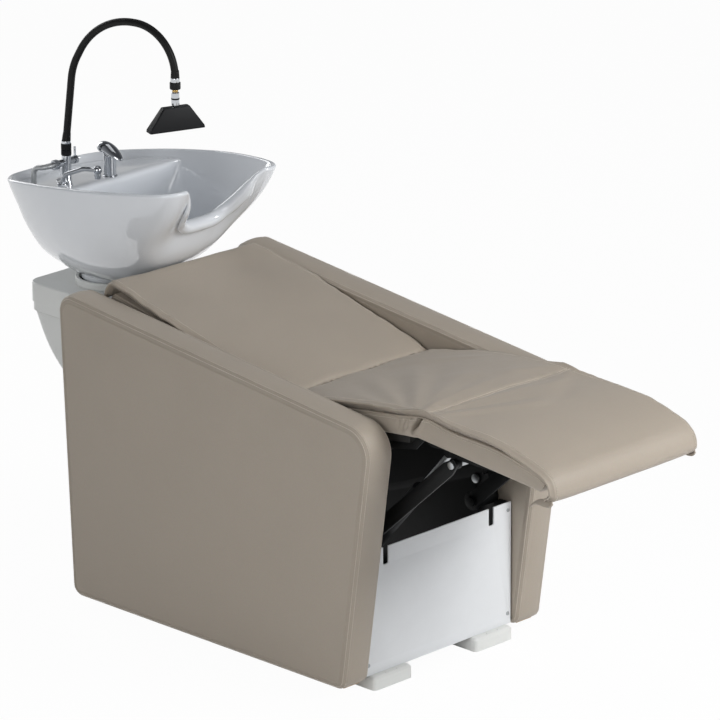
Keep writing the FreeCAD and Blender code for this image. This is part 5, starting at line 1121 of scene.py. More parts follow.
class WASHBED_OT_mats(bpy.types.Operator):
    """Loose mats with bound wavy edges; the seat and leg rest share one skin over the hinge"""
    bl_idname = "washbed.mats"
    bl_label = "Loose mats"

    def execute(self, context):
        back, rows = mat("back_mat_skin", BACK_LINE, back_creases, BACK_EDGE, back_lie)[:2]
        relax(back)
        upholster(back, False, ("back_mat",))
        sewn("back_mat_stitches", rows)
        lower, rows, rings, run, normals = mat("seat_and_leg_mat_skin", LOWER_LINE, lower_creases, LOWER_EDGE,
                                               lower_lie)
        relax(lower)
        lower = join("seat_and_leg_mat_skin", [lower, nose_hem(-1), nose_hem(1)])
        lower.data.shade_smooth()
        upholster(lower, True, ("seat_mat", "legrest_mat"))
        for offset in SEAM_ROWS:
            nearest = min(range(len(run)), key=lambda i: abs(run[i][0] - (CROSS_SEAM_Y + offset)))
            lift = Vector((0, *normals[nearest])) * SEAM_THREAD_LIFT * MM
            rows.append([p + lift for p in rings[nearest][2:MAT_COLUMNS - 1]])
        sewn("seat_and_leg_mat_stitches", rows, bends=True)
        return {"FINISHED"}


# Frame, panel, feet and pedestal

STEEL_NODES = ("left_side_plate", "right_side_plate", "base_frame", "seat_frame", "back_support",
               "leg_hinges", "roller_tracks", "actuator_top_bracket", "left_lift_arm", "right_lift_arm",
               "basin_post", "basin_saddle")


class WASHBED_OT_steelwork(bpy.types.Operator):
    """Painted plates, tubes and brackets with broken edges, and the plated parts that turn in them"""
    bl_idname = "washbed.steelwork"
    bl_label = "Steelwork"

    def execute(self, context):
        dress("painted", "black_paint", "black_steel", 2, 40, **dict.fromkeys(STEEL_NODES, 0.8))
        dress("bar", "black_paint", "black_steel", 2, 40, hinge_rod=0.8)
        dress("blackened", "black_paint", "black_steel", 2, 40, pivot_bolts=0.6)
        dress("plated", "zinc", "zinc_steel", 2, 40, arm_bolts=0.6, roller_shaft=0.6, actuator_rod=0.6)
        return {"FINISHED"}


class WASHBED_OT_drive(bpy.types.Operator):
    """Actuator, control box and rollers"""
    bl_idname = "washbed.drive"
    bl_label = "Drive"

    def execute(self, context):
        dress("moulded", "black_plastic", "black_plastic", 3, 40, actuator_body=1.6, control_box=3.0,
              left_roller=0.8, right_roller=0.8)
        return {"FINISHED"}


# The panel's screws: a domed head of unit radius in section, and its cross recess
HEAD_PROFILE = ((1.0, 0.0), (1.0, 0.10), (0.93, 0.24), (0.76, 0.37), (0.5, 0.45), (0.25, 0.48), (0.0, 0.49))
CROSS_HALF_WIDTH, CROSS_REACH, CROSS_DEPTH = 0.13, 0.56, 0.22
HEAD_SIDES = 32
HEAD_RADIUS = 5.0
SHANK_PROFILE = ((2.4, 0.0), (2.4, 17.5), (1.2, 18.8), (0.0, 19.0))
SCREW_PLACES = tuple((side * 232.9, 14.6, z) for side in (-1, 1) for z in (58.4, 316.0))


def panel_screw_head():
    """A domed head of unit radius with a cross recess, facing the front."""
    verts = []
    for radius, height in HEAD_PROFILE:
        for i in range(HEAD_SIDES):
            a = 2 * math.pi * i / HEAD_SIDES
            x, z = radius * math.cos(a), radius * math.sin(a)
            narrow, wide = sorted((abs(x), abs(z)))
            in_cross = narrow < CROSS_HALF_WIDTH and wide < CROSS_REACH
            verts.append((x, -(height - (CROSS_DEPTH if in_cross else 0.0)), z))
    faces = ring_faces(len(HEAD_PROFILE), HEAD_SIDES)
    faces.append(tuple(range(HEAD_SIDES)))
    piece = new_piece("screw_head_form", verts, faces)
    sharp_shading(piece.data, 30)
    return piece


class WASHBED_OT_front_panel(bpy.types.Operator):
    """Folded white sheet below the leg rest with its dome screws"""
    bl_idname = "washbed.front_panel"
    bl_label = "Front panel"

    def execute(self, context):
        dress("sheet", "white_paint", "white_sheet", 3, 40, front_panel=0.7)
        mesh = bpy.data.meshes.new("panel_screw_heads")
        mesh.from_pydata([tuple(at(*p)) for p in SCREW_PLACES], [], [])
        piece = scene_object("panel_screw_heads", mesh)
        head = panel_screw_head()
        run_group(piece, *screw_tree(), {"Head radius": HEAD_RADIUS * MM, "Head": head,
                                         "Material": MATERIALS["zinc"]})
        bpy.data.objects.remove(head)
        shanks = [lathe("screw_shank", SHANK_PROFILE, at(*p), MATERIALS["zinc"], (0, 1, 0), 16)
                  for p in SCREW_PLACES]
        place_piece(join("panel_screws_plated", [piece] + shanks), "base", "zinc_steel", "panel_screws")
        return {"FINISHED"}


class WASHBED_OT_feet(bpy.types.Operator):
    """Moulded feet under the frame"""
    bl_idname = "washbed.feet"
    bl_label = "Feet"

    def execute(self, context):
        dress("moulded", "white_plastic", "white_plastic", 3, 30, front_feet=1.6, rear_feet=1.6)
        return {"FINISHED"}


class WASHBED_OT_pedestal(bpy.types.Operator):
    """Moulded housing behind the arms: curved shell, recessed band, cap and round collar"""
    bl_idname = "washbed.pedestal"
    bl_label = "Pedestal"

    def execute(self, context):
        dress("moulded", "white_plastic", "white_plastic", 3, 35, pedestal_shell=1.5, pedestal_cap=2.0,
              basin_collar=1.5)
        return {"FINISHED"}


# Basin and fittings

# The rim in side view: a line from front to back with a slight bow
RIM_FRONT_Y, RIM_BACK_Y, RIM_FRONT_Z, RIM_BACK_Z, RIM_BOW = 664.0, 1341.0, 1027.0, 929.0, 37.0
# Outside of the basin: height, front, back and half width at each level from the foot up
FOOT_TOP_Z = 708.0
LEVELS = ((FOOT_TOP_Z, 1055.0, 1200.0, 60.0), (727.0, 980.0, 1233.0, 87.0), (763.0, 898.0, 1271.0, 129.0),
          (819.0, 822.0, 1300.0, 165.0), (874.0, 767.0, 1316.0, 191.0), (930.0, 717.0, 1337.0, 211.0),
          (985.0, 681.0, 1354.0, 226.0), (1060.0, 648.0, 1375.0, 243.0))
# Its plan: shares of the half width and of the length, from the middle of the back to that of the front
PLAN_HALF_WIDTH, PLAN_LENGTH = 240.0, 690.0
PLAN = ((0.0, 0.0), (0.27, 0.0), (0.54, 0.012), (0.75, 0.075), (0.862, 0.174), (0.965, 0.347), (1.0, 0.478),
        (1.01, 0.583), (0.99, 0.672), (0.95, 0.751), (0.885, 0.84), (0.78, 0.918), (0.58, 0.97), (0.3, 0.994),
        (0.0, 1.0))
# Wall, and how much more than half of it the rim is rolled round at the notch
WALL, NOTCH_ROLL = 12.0, 11.0
# A place along the bed that is inside the basin at every height
INSIDE_Y = 1020
# The service deck behind the bowl, the divider in front of it and the bowl's floor
DECK_Y, DECK_DROP, DIVIDER_FOOT_Y, FLOOR_Z = 1070.0, 20.0, 1140.0, 720.0
# The neck notch: a flat floor, a bend of this radius and straight sides. It cuts the wall in front of a
# place along the bed; behind that its height is beyond any rim.
NOTCH_LAST_Y, NO_NOTCH = 900.0, 2000.0
NOTCH_FLOOR, NOTCH_RADIUS, NOTCH_BEND_X, NOTCH_TURN_X, NOTCH_SLOPE = 908.0, 45.0, 30.0, 71.4, 2.36
# How far the wall is drawn back for the neck, between these half widths and these heights
RECESS, RECESS_WIDE, RECESS_HIGH = 50.0, (60.0, 178.0), (780.0, 920.0)
# The drain, and how far the bowl's floor dips towards it
DRAIN_CENTRE, FLOOR_DIP = (0.0, 1085.0), 3.0
# How far from a corner the rim starts to round into the notch, and the halvings of each search
RIM_BLEND, SEARCH_ROUNDS = 52.0, 24
FOOT_RING_PROFILE = ((53.0, 711.0), (53.0, 697.0), (54.5, 695.0), (59.0, 695.0), (61.0, 697.0),
                     (61.5, 701.0), (63.0, 712.0))
FOOT_RING_PLACE = (0, 1120, 0)
# Columns of points round the basin: those that end in the deck, and those that end in the bowl
BACK_COLUMNS, FRONT_COLUMNS = 90, 250
# Rounds of smoothing for the inside as a whole and for the edge of the deck
SMOOTHING = (("inner", 18), ("deck edge", 30))
# Half the width of the band that the edge's smoothing reaches, along the bed and in height
DECK_EDGE_BAND = (26, 60)
DECK_EDGE_LOWEST = 800
# Rows of points from the foot over the rim to the drain
WALL_ROWS, LIP_ROWS, STEP_ROWS, DECK_ROWS, DIVIDER_ROWS, BOWL_FLOOR_ROWS = 30, 13, 3, 16, 26, 6


def soft_min(a, b, reach):
    """The smaller value, with a rounded change from one to the other."""
    h = max(reach - abs(a - b), 0.0) / reach
    return min(a, b) - h * h * reach / 4


def rim_height(y):
    """Height of the rim at a place along the bed, without the neck notch."""
    share = (y - RIM_FRONT_Y) / (RIM_BACK_Y - RIM_FRONT_Y)
    return RIM_FRONT_Z + (RIM_BACK_Z - RIM_FRONT_Z) * share + RIM_BOW * share * (1 - share)


def notch_height(x, y):
    """Lower edge of the neck notch at a place across the front wall."""
    x = abs(x)
    if y > NOTCH_LAST_Y:
        return NO_NOTCH
    if x < NOTCH_BEND_X:
        return NOTCH_FLOOR
    bend = min(x, NOTCH_TURN_X) - NOTCH_BEND_X
    height = NOTCH_FLOOR + NOTCH_RADIUS - math.sqrt(NOTCH_RADIUS ** 2 - bend ** 2)
    return height + max(x - NOTCH_TURN_X, 0.0) * NOTCH_SLOPE


class BasinForm:
    """The basin's wall as a surface: a share round its plan and a height give a place."""

    def __init__(self):
        right = [(w * PLAN_HALF_WIDTH, l * PLAN_LENGTH) for w, l in PLAN]
        loop = right + [(-x, y) for x, y in right[-2:0:-1]]
        wrapped = loop[-3:] + loop + loop[:4]
        dense = smooth_run(wrapped, 2.0, 24)
        first = min(range(len(dense) // 4), key=lambda i: math.dist(dense[i], loop[0]))
        last = min(range(len(dense) * 3 // 4, len(dense)), key=lambda i: math.dist(dense[i], loop[0]))
        self.plan = dense[first:last]
        self.levels = smooth_run(LEVELS, 1.0, 24)
        self.heights = [level[0] for level in self.levels]

    def section(self, z):
        """Front, back and half width of the basin at a height."""
        z = min(max(z, self.heights[0]), self.heights[-1])
        high = min(bisect.bisect_right(self.heights, z), len(self.heights) - 1)
        a, b = self.levels[high - 1], self.levels[high]
        share = (z - a[0]) / max(b[0] - a[0], 1e-6)
        return [p + (q - p) * share for p, q in zip(a[1:], b[1:])]

    def spot(self, t, z, inset=0.0):
        """Place of the wall at a share of its plan and a height, or so far inside it."""
        front, back, half = self.section(z)
        place = (t % 1.0) * len(self.plan)
        i = int(place) % len(self.plan)
        a, b = self.plan[i], self.plan[(i + 1) % len(self.plan)]
        f = place - int(place)
        w = (a[0] + (b[0] - a[0]) * f) / PLAN_HALF_WIDTH
        l = (a[1] + (b[1] - a[1]) * f) / PLAN_LENGTH
        front, back = front + inset, back - inset
        x = (half - inset) * w
        drawn = RECESS * (1 - eased(abs(x), *RECESS_WIDE)) * eased(z, *RECESS_HIGH) * eased(l, 0.7, 0.93)
        return Vector((x, back + (front - back) * l + drawn, z))

    def rim(self, t):
        """Place of the rim's edge, found by halving the error in its height."""
        z = RIM_FRONT_Z
        for _ in range(SEARCH_ROUNDS):
            p = self.spot(t, z)
            wanted = soft_min(rim_height(p.y), notch_height(p.x, p.y), RIM_BLEND)
            z += (wanted - z) * 0.5
        return self.spot(t, z)

    def corner_share(self, z, y, inset):
        """Share on the right-hand side at which the wall passes a place along the bed."""
        low, high = 0.0, 0.5
        for _ in range(SEARCH_ROUNDS):
            middle = (low + high) / 2
            if self.spot(middle, z, inset).y > y:
                low = middle
            else:
                high = middle
        return low


def divider_y(z):
    """Place of the divider at a height between the deck and the bowl's floor."""
    top = rim_height(DECK_Y) - DECK_DROP
    return DECK_Y + (DIVIDER_FOOT_Y - DECK_Y) * min(max((top - z) / (top - FLOOR_Z), 0.0), 1.0)


def rim_columns(form, t_from, t_to, count):
    """Shares spaced evenly along the rim's edge, by walking it in fine steps."""
    steps = 1500
    fine = [t_from + (t_to - t_from) * i / steps for i in range(steps + 1)]
    spots = [form.rim(t) for t in fine]
    walked = [0.0]
    for a, b in zip(spots, spots[1:]):
        walked.append(walked[-1] + (b - a).length)
    out, k = [], 0
    for i in range(count):
        target = walked[-1] * i / count
        while walked[k + 1] < target:
            k += 1
        f = (target - walked[k]) / max(walked[k + 1] - walked[k], 1e-9)
        out.append(fine[k] + (fine[k + 1] - fine[k]) * f)
    return out


def basin_column(form, t, back_share, front_share, corner_deck):
    """One run of points from the foot over the rim to the bowl's floor."""
    here = form.rim(t)
    step = 0.0012
    tangent = (form.rim(t + step) - form.rim(t - step)).normalized()
    round_way = (form.spot(t + step, here.z) - form.spot(t - step, here.z)) / (2 * step)
    up_way = form.spot(t, here.z + 2) - form.spot(t, here.z - 2)
    out = round_way.cross(up_way).normalized()
    if out.dot(here - Vector((0, INSIDE_Y, here.z))) < 0:
        out.negate()
    up = tangent.cross(out).normalized()
    notch = eased(rim_height(here.y) - here.z, 4.0, 55.0)
    radius = WALL / 2 + NOTCH_ROLL * notch
    fall = up * -(radius + 6)
    shift = fall.dot(round_way) / round_way.length_squared
    top_z = here.z + fall.z
    points = []
    for i in range(WALL_ROWS):
        share = i / (WALL_ROWS - 1)
        share = 1 - (1 - share) ** 1.25
        points.append(form.spot(t + shift * share ** 3, FOOT_TOP_Z + (top_z - FOOT_TOP_Z) * share))
    centre = here - out * (WALL / 2 - 1.0 * notch) - up * radius
    for i in range(LIP_ROWS):
        a = math.radians(-38 * notch + (180 + 76 * notch) * i / (LIP_ROWS - 1))
        points.append(centre + (out * math.cos(a) + up * math.sin(a)) * radius)
    inner_top = form.spot(t + shift, top_z, WALL)
    edge_z = rim_height(DECK_Y) - DECK_DROP
    if back_share is not None:
        wall_z = rim_height(form.spot(t, here.z - DECK_DROP, WALL).y) - DECK_DROP
        foot = form.spot(t, wall_z, WALL)
        edge_half = form.spot(corner_deck, edge_z, WALL).x
        edge = Vector((edge_half * back_share, DECK_Y, edge_z))
        for i in range(STEP_ROWS):
            points.append(inner_top.lerp(foot, (i + 1) / STEP_ROWS))
        for i in range(DECK_ROWS):
            p = foot.lerp(edge, 1 - (1 - (i + 1) / DECK_ROWS) ** 1.3)
            points.append(Vector((p.x, p.y, rim_height(p.y) - DECK_DROP)))
        for i in range(DIVIDER_ROWS):
            z = edge_z + (FLOOR_Z - edge_z) * ((i + 1) / DIVIDER_ROWS) ** 1.15
            y = divider_y(z)
            half = form.spot(form.corner_share(z, y, WALL), z, WALL).x
            points.append(Vector((half * back_share, y, z)))
    else:
        near = eased(min(front_share, 1 - front_share), 0.0, 0.16)
        rows = STEP_ROWS + DECK_ROWS + DIVIDER_ROWS
        for i in range(rows):
            even = (i + 1) / rows
            if i < STEP_ROWS:
                z_corner = top_z + (edge_z - top_z) * (i + 1) / STEP_ROWS
            elif i < STEP_ROWS + DECK_ROWS:
                z_corner = edge_z
            else:
                down = (i - STEP_ROWS - DECK_ROWS + 1) / DIVIDER_ROWS
                z_corner = edge_z + (FLOOR_Z - edge_z) * down ** 1.15
            z = z_corner + (top_z + (FLOOR_Z - top_z) * even - z_corner) * near
            corner = form.corner_share(z, divider_y(z), WALL)
            level = corner + (1 - 2 * corner) * front_share
            blend = eased(i, -1, 16)
            points.append(form.spot(t + shift + (level - t - shift) * blend, z, WALL))
    floor = points[-1]
    drain = Vector((*DRAIN_CENTRE, FLOOR_Z - 2.0))
    for i in range(BOWL_FLOOR_ROWS):
        share = (i + 1) / (BOWL_FLOOR_ROWS + 1)
        p = floor.lerp(drain, share)
        points.append(Vector((p.x, p.y, FLOOR_Z - FLOOR_DIP * math.sin(math.pi / 2 * share))))
    return points


def round_corners(columns, corners, first_row):
    """Turns the sharp meeting of the divider and the bowl's sides into a wide soft bend."""
    count = len(columns)
    for row in range(first_row, len(columns[0])):
        reach = int(2 + 20 * eased(row, first_row, first_row + 9))
        for corner in corners:
            a, b = columns[corner - reach][row].copy(), columns[corner][row].copy()
            c = columns[(corner + reach) % count][row].copy()
            for j in range(-reach, reach + 1):
                s = (j + reach) / (2 * reach)
                columns[(corner + j) % count][row] = a * (1 - s) ** 2 + b * 2 * s * (1 - s) + c * s * s


def place_key(place):
    """A place as a key for looking vertices up after doubles were merged."""
    return tuple(round(v, 5) for v in place)


class WASHBED_OT_basin(bpy.types.Operator):
    """Cast and glazed basin: bowl, two horns, rolled neck notch, service deck and its foot ring"""
    bl_idname = "washbed.basin"
    bl_label = "Basin"

    def execute(self, context):
        form = BasinForm()
        deck_z = rim_height(DECK_Y) - DECK_DROP
        corner = form.corner_share(deck_z, DECK_Y, WALL)
        limit = form.spot(corner, form.rim(corner).z - DECK_DROP, WALL).x
        columns = []
        for t in rim_columns(form, -corner, corner, BACK_COLUMNS):
            foot = form.spot(t, form.rim(t).z - DECK_DROP, WALL)
            columns.append(basin_column(form, t, min(max(foot.x / limit, -1.0), 1.0), None, corner))
        for t in rim_columns(form, corner, 1 - corner, FRONT_COLUMNS):
            columns.append(basin_column(form, t, None, (t - corner) / (1 - 2 * corner), corner))
        inner_row = WALL_ROWS + LIP_ROWS
        round_corners(columns, (0, BACK_COLUMNS), inner_row + STEP_ROWS + DECK_ROWS)
        rings = [[at(*column[i]) for column in columns] for i in range(len(columns[0]))]
        piece = new_piece("basin_china", *closed_rings(rings), MATERIALS["china"])
        # How much of the smoothing each place inside the rim takes; the wall's outside and the rim take none
        shares = {place_key(at(*column[k])): min((k - inner_row) / 2, 1.0)
                  for column in columns for k in range(inner_row, len(column))}
        inner = piece.vertex_groups.new(name="inner")
        edge = piece.vertex_groups.new(name="deck edge")
        for vertex in piece.data.vertices:
            share = shares.get(place_key(vertex.co))
            if share:
                inner.add([vertex.index], share, "REPLACE")
            y, z = vertex.co.y / MM + ORIGIN_Y, vertex.co.z / MM
            if z > DECK_EDGE_LOWEST and share is not None:
                near = bump(y, DECK_Y + 2, DECK_EDGE_BAND[0]) * bump(z, deck_z, DECK_EDGE_BAND[1])
                edge.add([vertex.index], near, "REPLACE")
        for group, rounds in SMOOTHING:
            soften = piece.modifiers.new("sponged", "SMOOTH")
            soften.factor = 0.5
            soften.iterations = rounds
            soften.vertex_group = group
        apply_modifiers(piece)
        piece.vertex_groups.clear()
        piece.data.shade_smooth()
        ring = lathe("foot_ring", FOOT_RING_PROFILE, at(*FOOT_RING_PLACE), MATERIALS["china"], count=72)
        place_piece(join("basin_china_cast", [piece, ring]), "bowl", "ceramic", "basin")
        return {"FINISHED"}


class WASHBED_OT_drain(bpy.types.Operator):
    """Drain flange with its waste pipe and the lift-out strainer"""
    bl_idname = "washbed.drain"
    bl_label = "Drain"

    def execute(self, context):
        dress("plated", "chrome", "chrome", 3, 30, drain_fitting=0.8)
        dress("plated", "chrome", "chrome", 2, 40, hair_strainer=0.25)
        return {"FINISHED"}


class WASHBED_OT_mixer(bpy.types.Operator):
    """Mixer tap with a domed lever"""
    bl_idname = "washbed.mixer"
    bl_label = "Mixer"

    def execute(self, context):
        dress("plated", "chrome", "chrome", 3, 32, mixer_body=1.2, mixer_cartridge=0.8, mixer_lever=1.5)
        return {"FINISHED"}


# The knurled coupling at the gooseneck's foot: (radius, height), its knurl, and its place
COUPLING_PROFILE = ((6.2, 0.0), (11.4, 0.0), (12.4, 0.9), (12.5, 1.8), (12.5, 13.0), (11.3, 13.4),
                    (11.3, 15.0), (12.5, 15.4), (12.5, 27.0), (12.4, 28.0), (11.4, 29.0), (9.2, 29.0))
COUPLING_KNURL = (1.5, 27.5, 0.45)
COUPLING_PLACE = (-60, 1190, 998.5)


class WASHBED_OT_valve(bpy.types.Operator):
    """Quarter-turn valve, its supply pipe and the knurled coupling of the hose"""
    bl_idname = "washbed.valve"
    bl_label = "Valve"

    def execute(self, context):
        dress("plated", "chrome", "chrome", 3, 32, valve_body=0.8, valve_lever=0.6, hose_ring=0.8)
        dress("braided", "braid", "chrome", 3, 32, supply_pipe=0.0)
        coupling = lathe("hose_coupling_moulded", COUPLING_PROFILE, at(*COUPLING_PLACE),
                         MATERIALS["black_plastic"], count=144, smooth_angle=25, knurl=COUPLING_KNURL)
        place_piece(coupling, "gooseneck", "black_plastic", "hose_coupling")
        return {"FINISHED"}


# The spray's stem stands upright here. Its neck is bare brass, and lower down it has a dark rubber band.
STEM_PLACE = (-5.748, 867.488)
NECK_PROFILE = ((6.55, 0.0), (7.0, 0.6), (7.0, 6.2), (6.55, 6.8))
BAND_PROFILE = ((9.65, 0.0), (10.0, 0.4), (10.0, 3.6), (9.65, 4.0))


class WASHBED_OT_gooseneck(bpy.types.Operator):
    """Gooseneck hose arm with its end fittings"""
    bl_idname = "washbed.gooseneck"
    bl_label = "Gooseneck"

    def execute(self, context):
        dress("cover", "rubber", "hose_rubber", 2, 40, gooseneck_hose=0.0)
        dress("plated", "chrome", "chrome", 3, 32, end_ring=1.0)
        dress("moulded", "black_plastic", "black_plastic", 3, 32, end_nut=1.0)
        dress("plated", "chrome", "chrome", 3, 32, head_stem=0.8)
        for name, profile, height, material, slot in (
                ("neck_sleeve", NECK_PROFILE, 1207.6, "brass", "chrome"),
                ("stem_band", BAND_PROFILE, 1190.0, "black_plastic", "black_plastic")):
            turned = lathe(name, profile, at(*STEM_PLACE, height), MATERIALS[material], count=40)
            place_piece(turned, "stem", slot)
        return {"FINISHED"}


class WASHBED_OT_spray_head(bpy.types.Operator):
    """Fan-shaped spray head with its rows of soft jets"""
    bl_idname = "washbed.spray_head"
    bl_label = "Spray head"

    def execute(self, context):
        dress("moulded", "black_plastic", "black_plastic", 3, 30, spray_head=1.6)
        dress("moulded", "jet_rubber", "jet_rubber", 2, 40, spray_plate=0.3)
        return {"FINISHED"}


class WASHBED_OT_spout(bpy.types.Operator):
    """Filling spout on its swivel foot, with the tilting nozzle"""
    bl_idname = "washbed.spout"
    bl_label = "Spout"

    def execute(self, context):
        dress("plated", "chrome", "chrome", 3, 32, spout_collar=1.0, spout=0.0, spout_nozzle=0.8)
        return {"FINISHED"}


class WASHBED_OT_timber(bpy.types.Operator):
    """Plywood cores and boards inside the upholstery"""
    bl_idname = "washbed.timber"
    bl_label = "Timber"

    def execute(self, context):
        dress("ply", "plywood", "timber", 2, 40, arm_cores=0.8)
        # Painted shade: the boards under the cushions are dressed in near-black plywood for the shade under
        # the cushions
        dress("ply", "stained_plywood", "timber", 2, 40, back_board=0.8, seat_board=0.8, legrest_board=0.8)
        return {"FINISHED"}


class WASHBED_OT_finishes(bpy.types.Operator):
    """Makes the materials that the pieces are dressed in"""
    bl_idname = "washbed.finishes"
    bl_label = "Finishes"

    def execute(self, context):
        def hue(key):
            return tuple(getattr(colours(), key))

        MATERIALS.update(
            leather=leatherette("Taupe coated upholstery cloth", hue("upholstery"), hue("upholstery_dark"),
                                hue("upholstery_light")),
            thread=moulded_plastic("Bonded polyester thread", hue("thread"), linear("#BDB2A4"), 0.6),
            china=glazed_china("Glazed vitreous china", hue("china"), hue("china_shade")),
            white_plastic=moulded_plastic("Moulded white ABS", hue("white_plastic"), linear("#E2E3E0"), 0.36),
            white_paint=powder_coat("White powder coated sheet", hue("white_paint"), linear("#E6E8EA"), 0.42),
            black_paint=powder_coat("Black powder coated steel", hue("black_paint"), linear("#0D0E0F"), 0.5,
                                    gloss=0.25),
            black_plastic=moulded_plastic("Moulded black nylon", hue("black_plastic"), linear("#0F1012"), 0.5,
                                          gloss=0.22),
            jet_rubber=moulded_plastic("Moulded jet silicone", linear("#26282B"), linear("#1E2023"), 0.6),
            rubber=hose_cover("Extruded hose rubber", hue("rubber"), linear("#101010")),
            chrome=plated_metal("Polished chrome plate", hue("chrome"), 0.07, 0.08, (60.0, 60.0, 60.0), 0.04),
            # Fine stainless wire woven over a tube: duller than plating, and grainy across its run
            braid=plated_metal("Braided stainless steel", hue("braid"), 0.46, 0.1, (420.0, 420.0, 420.0),
                               0.5),
            brass=plated_metal("Polished brass", hue("brass"), 0.18, 0.1, (60.0, 60.0, 300.0), 0.08),
            zinc=plated_metal("Zinc plated steel", hue("zinc"), 0.3, 0.14, (60.0, 60.0, 500.0), 0.15),
            plywood=plywood("Birch plywood", hue("timber"), linear("#B08F62")),
            # Painted shade: near-black plywood for the boards that sit in the cushions' shade
            stained_plywood=plywood("Black stained birch plywood", hue("stain"), linear("#131211")))
        return {"FINISHED"}


# Studio

CAMERA_AZIMUTH = -45.539
CAMERA_PITCH = 18.676
CAMERA_ROLL = -0.175
CAMERA_PLACE = (-9.4356, -9.3762, 5.1509)
CAMERA_LENS = 301.8
FLOOR_REACH = 14
FLOOR_GLOW = 0.97
# The room by height: pale low down and dim overhead, which gives plated and glazed pieces something to show
ROOM = ((0.0, (0.86, 0.87, 0.88, 1)), (0.28, (0.42, 0.43, 0.45, 1)), (0.75, (0.12, 0.125, 0.135, 1)))
ROOM_STRENGTH = 0.62
PLAIN_WHITE = {"Color": (1, 1, 1, 1), "Strength": 1.0}
# Each lamp's place, the place it is aimed at, its width, its height if it isn't square, and its power
LAMPS = {"key": ((0.9, -3.0, 2.6), (0.0, -0.6, 0.6), 1.5, None, 92),
         "fill": ((-3.8, -1.4, 2.0), (0.0, 0.0, 0.6), 1.6, 2.4, 44),
         "top": ((0.2, 0.9, 3.6), (0.0, 0.0, 0.6), 1.8, None, 8),
         "back": ((0.4, 3.6, 1.9), (0.0, 0.0, 0.6), 1.0, 2.2, 24)}


def studio_surface(name, tint, glow):
    """Pale paper that reads white to the lens and in reflections, and keeps a soft shadow."""
    material, tree, body, where = new_material(name, Base_Color=tint, Roughness=0.9)
    tone_between(tree, body, tint, linear("#F4F4F4"), cloud(tree, where, 2.0))
    white = add_node(tree, "ShaderNodeEmission", PLAIN_WHITE)
    path = add_node(tree, "ShaderNodeLightPath")
    seen = add_node(tree, "ShaderNodeMath", {"operation": "MAXIMUM"},
                    {0: path.outputs["Is Camera Ray"], 1: path.outputs["Is Glossy Ray"]})
    both = add_node(tree, "ShaderNodeMath", {"operation": "MAXIMUM"},
                    {0: seen.outputs[0], 1: path.outputs["Is Transmission Ray"]})
    share = add_node(tree, "ShaderNodeMath", {"operation": "MULTIPLY", 1: glow}, {0: both.outputs[0]})
    blend = add_node(tree, "ShaderNodeMixShader", links={0: share.outputs[0], 1: body.outputs[0],
                                                         2: white.outputs[0]})
    tree.links.new(blend.outputs[0], tree.nodes["Material Output"].inputs["Surface"])
    return material


def area_light(name, place, target, width, height, power):
    """A soft lamp turned towards its target."""
    light = bpy.data.lights.new(name, "AREA")
    light.energy = power
    light.size = width
    if height:
        light.shape = "RECTANGLE"
        light.size_y = height
    lamp = scene_object(name, light)
    lamp.location = place
    lamp.rotation_euler = (Vector(target) - Vector(place)).to_track_quat("-Z", "Y").to_euler()


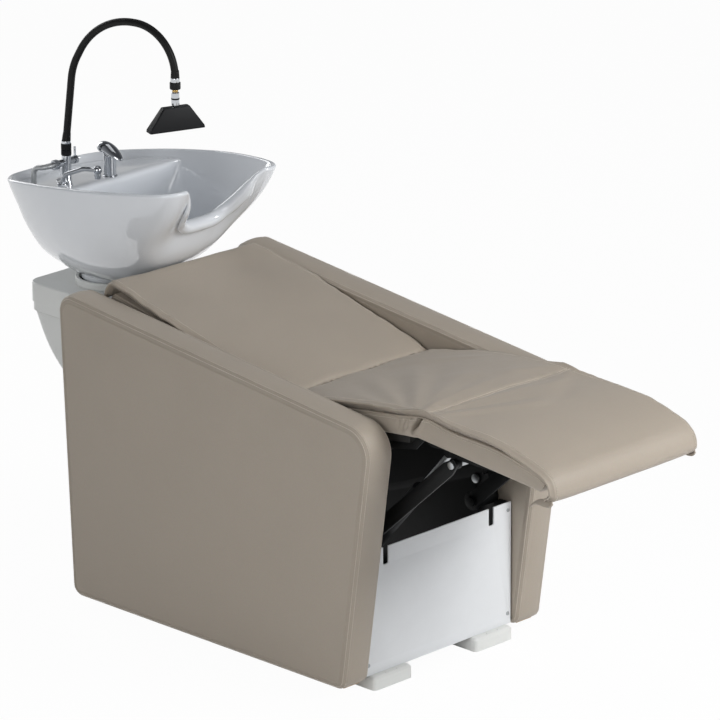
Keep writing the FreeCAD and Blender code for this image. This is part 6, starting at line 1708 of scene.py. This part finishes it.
class WASHBED_OT_stage(bpy.types.Operator):
    """Pale floor, soft lamps and the camera at the photograph's angle"""
    bl_idname = "washbed.stage"
    bl_label = "Stage"

    def execute(self, context):
        r = FLOOR_REACH
        floor = new_piece("studio_floor", [(-r, -r, 0), (r, -r, 0), (r, r, 0), (-r, r, 0)], [(0, 1, 2, 3)],
                          studio_surface("Studio paper", linear("#FAFAFA"), FLOOR_GLOW), False)
        world = bpy.data.worlds.new("Studio")
        bpy.context.scene.world = world
        world.use_nodes = True
        tree = world.node_tree
        ground = tree.nodes["Background"]
        compass = add_node(tree, "ShaderNodeTexCoord")
        parts = add_node(tree, "ShaderNodeSeparateXYZ", links={0: compass.outputs["Generated"]})
        ramp = add_node(tree, "ShaderNodeValToRGB", links={"Fac": parts.outputs["Z"]})
        stops = ramp.color_ramp.elements
        stops.new(0.5)
        for stop, (position, colour_there) in zip(stops, ROOM):
            stop.position = position
            stop.color = colour_there
        tree.links.new(ramp.outputs["Color"], ground.inputs["Color"])
        ground.inputs["Strength"].default_value = ROOM_STRENGTH
        white = add_node(tree, "ShaderNodeBackground", PLAIN_WHITE)
        path = add_node(tree, "ShaderNodeLightPath")
        blend = add_node(tree, "ShaderNodeMixShader", links={0: path.outputs["Is Camera Ray"],
                                                             1: ground.outputs[0], 2: white.outputs[0]})
        tree.links.new(blend.outputs[0], tree.nodes["World Output"].inputs["Surface"])
        for name, settings in LAMPS.items():
            area_light(name, *settings)
        camera = bpy.data.cameras.new("camera")
        camera.lens = CAMERA_LENS
        camera.sensor_width = 36.0
        camera.clip_end = 60.0
        view = scene_object("camera", camera)
        turn = (Matrix.Rotation(math.radians(CAMERA_AZIMUTH), 4, "Z")
                @ Matrix.Rotation(math.radians(90 - CAMERA_PITCH), 4, "X")
                @ Matrix.Rotation(math.radians(CAMERA_ROLL), 4, "Z"))
        view.matrix_world = Matrix.Translation(CAMERA_PLACE) @ turn
        bpy.context.scene.camera = view
        bpy.context.scene.view_settings.view_transform = "Standard"
        return {"FINISHED"}


class WASHBED_PT_panel(bpy.types.Panel):
    """Lists the pieces of the washing bed"""
    bl_idname = "WASHBED_PT_panel"
    bl_label = "Hair washing bed"
    bl_space_type = "VIEW_3D"
    bl_region_type = "UI"
    bl_category = "Washing Bed"

    def draw(self, context):
        for operator in STEPS:
            self.layout.operator(operator.bl_idname)
        for group in (context.scene.washbed_sizes, context.scene.washbed_colours):
            box = self.layout.box()
            for key in group.bl_rna.properties.keys():
                if key not in ("rna_type", "name"):
                    box.prop(group, key)


STEPS = (WASHBED_OT_finishes, WASHBED_OT_stage, WASHBED_OT_timber, WASHBED_OT_steelwork, WASHBED_OT_drive,
         WASHBED_OT_front_panel, WASHBED_OT_feet, WASHBED_OT_pedestal, WASHBED_OT_basin, WASHBED_OT_drain,
         WASHBED_OT_mixer, WASHBED_OT_valve, WASHBED_OT_gooseneck, WASHBED_OT_spray_head,
         WASHBED_OT_spout, WASHBED_OT_arms, WASHBED_OT_cushions, WASHBED_OT_mats)
CLASSES = (WashBedSizes, WashBedColours) + STEPS + (WASHBED_PT_panel,)


def register():
    for kind in CLASSES:
        bpy.utils.register_class(kind)
    bpy.types.Scene.washbed_sizes = bpy.props.PointerProperty(type=WashBedSizes)
    bpy.types.Scene.washbed_colours = bpy.props.PointerProperty(type=WashBedColours)


def unregister():
    del bpy.types.Scene.washbed_colours
    del bpy.types.Scene.washbed_sizes
    for kind in reversed(CLASSES):
        bpy.utils.unregister_class(kind)


def main():
    """Builds everything in order."""
    register()
    for operator in STEPS:
        group, name = operator.bl_idname.split(".")
        getattr(getattr(bpy.ops, group), name)()


if __name__ == "__main__":
    main()
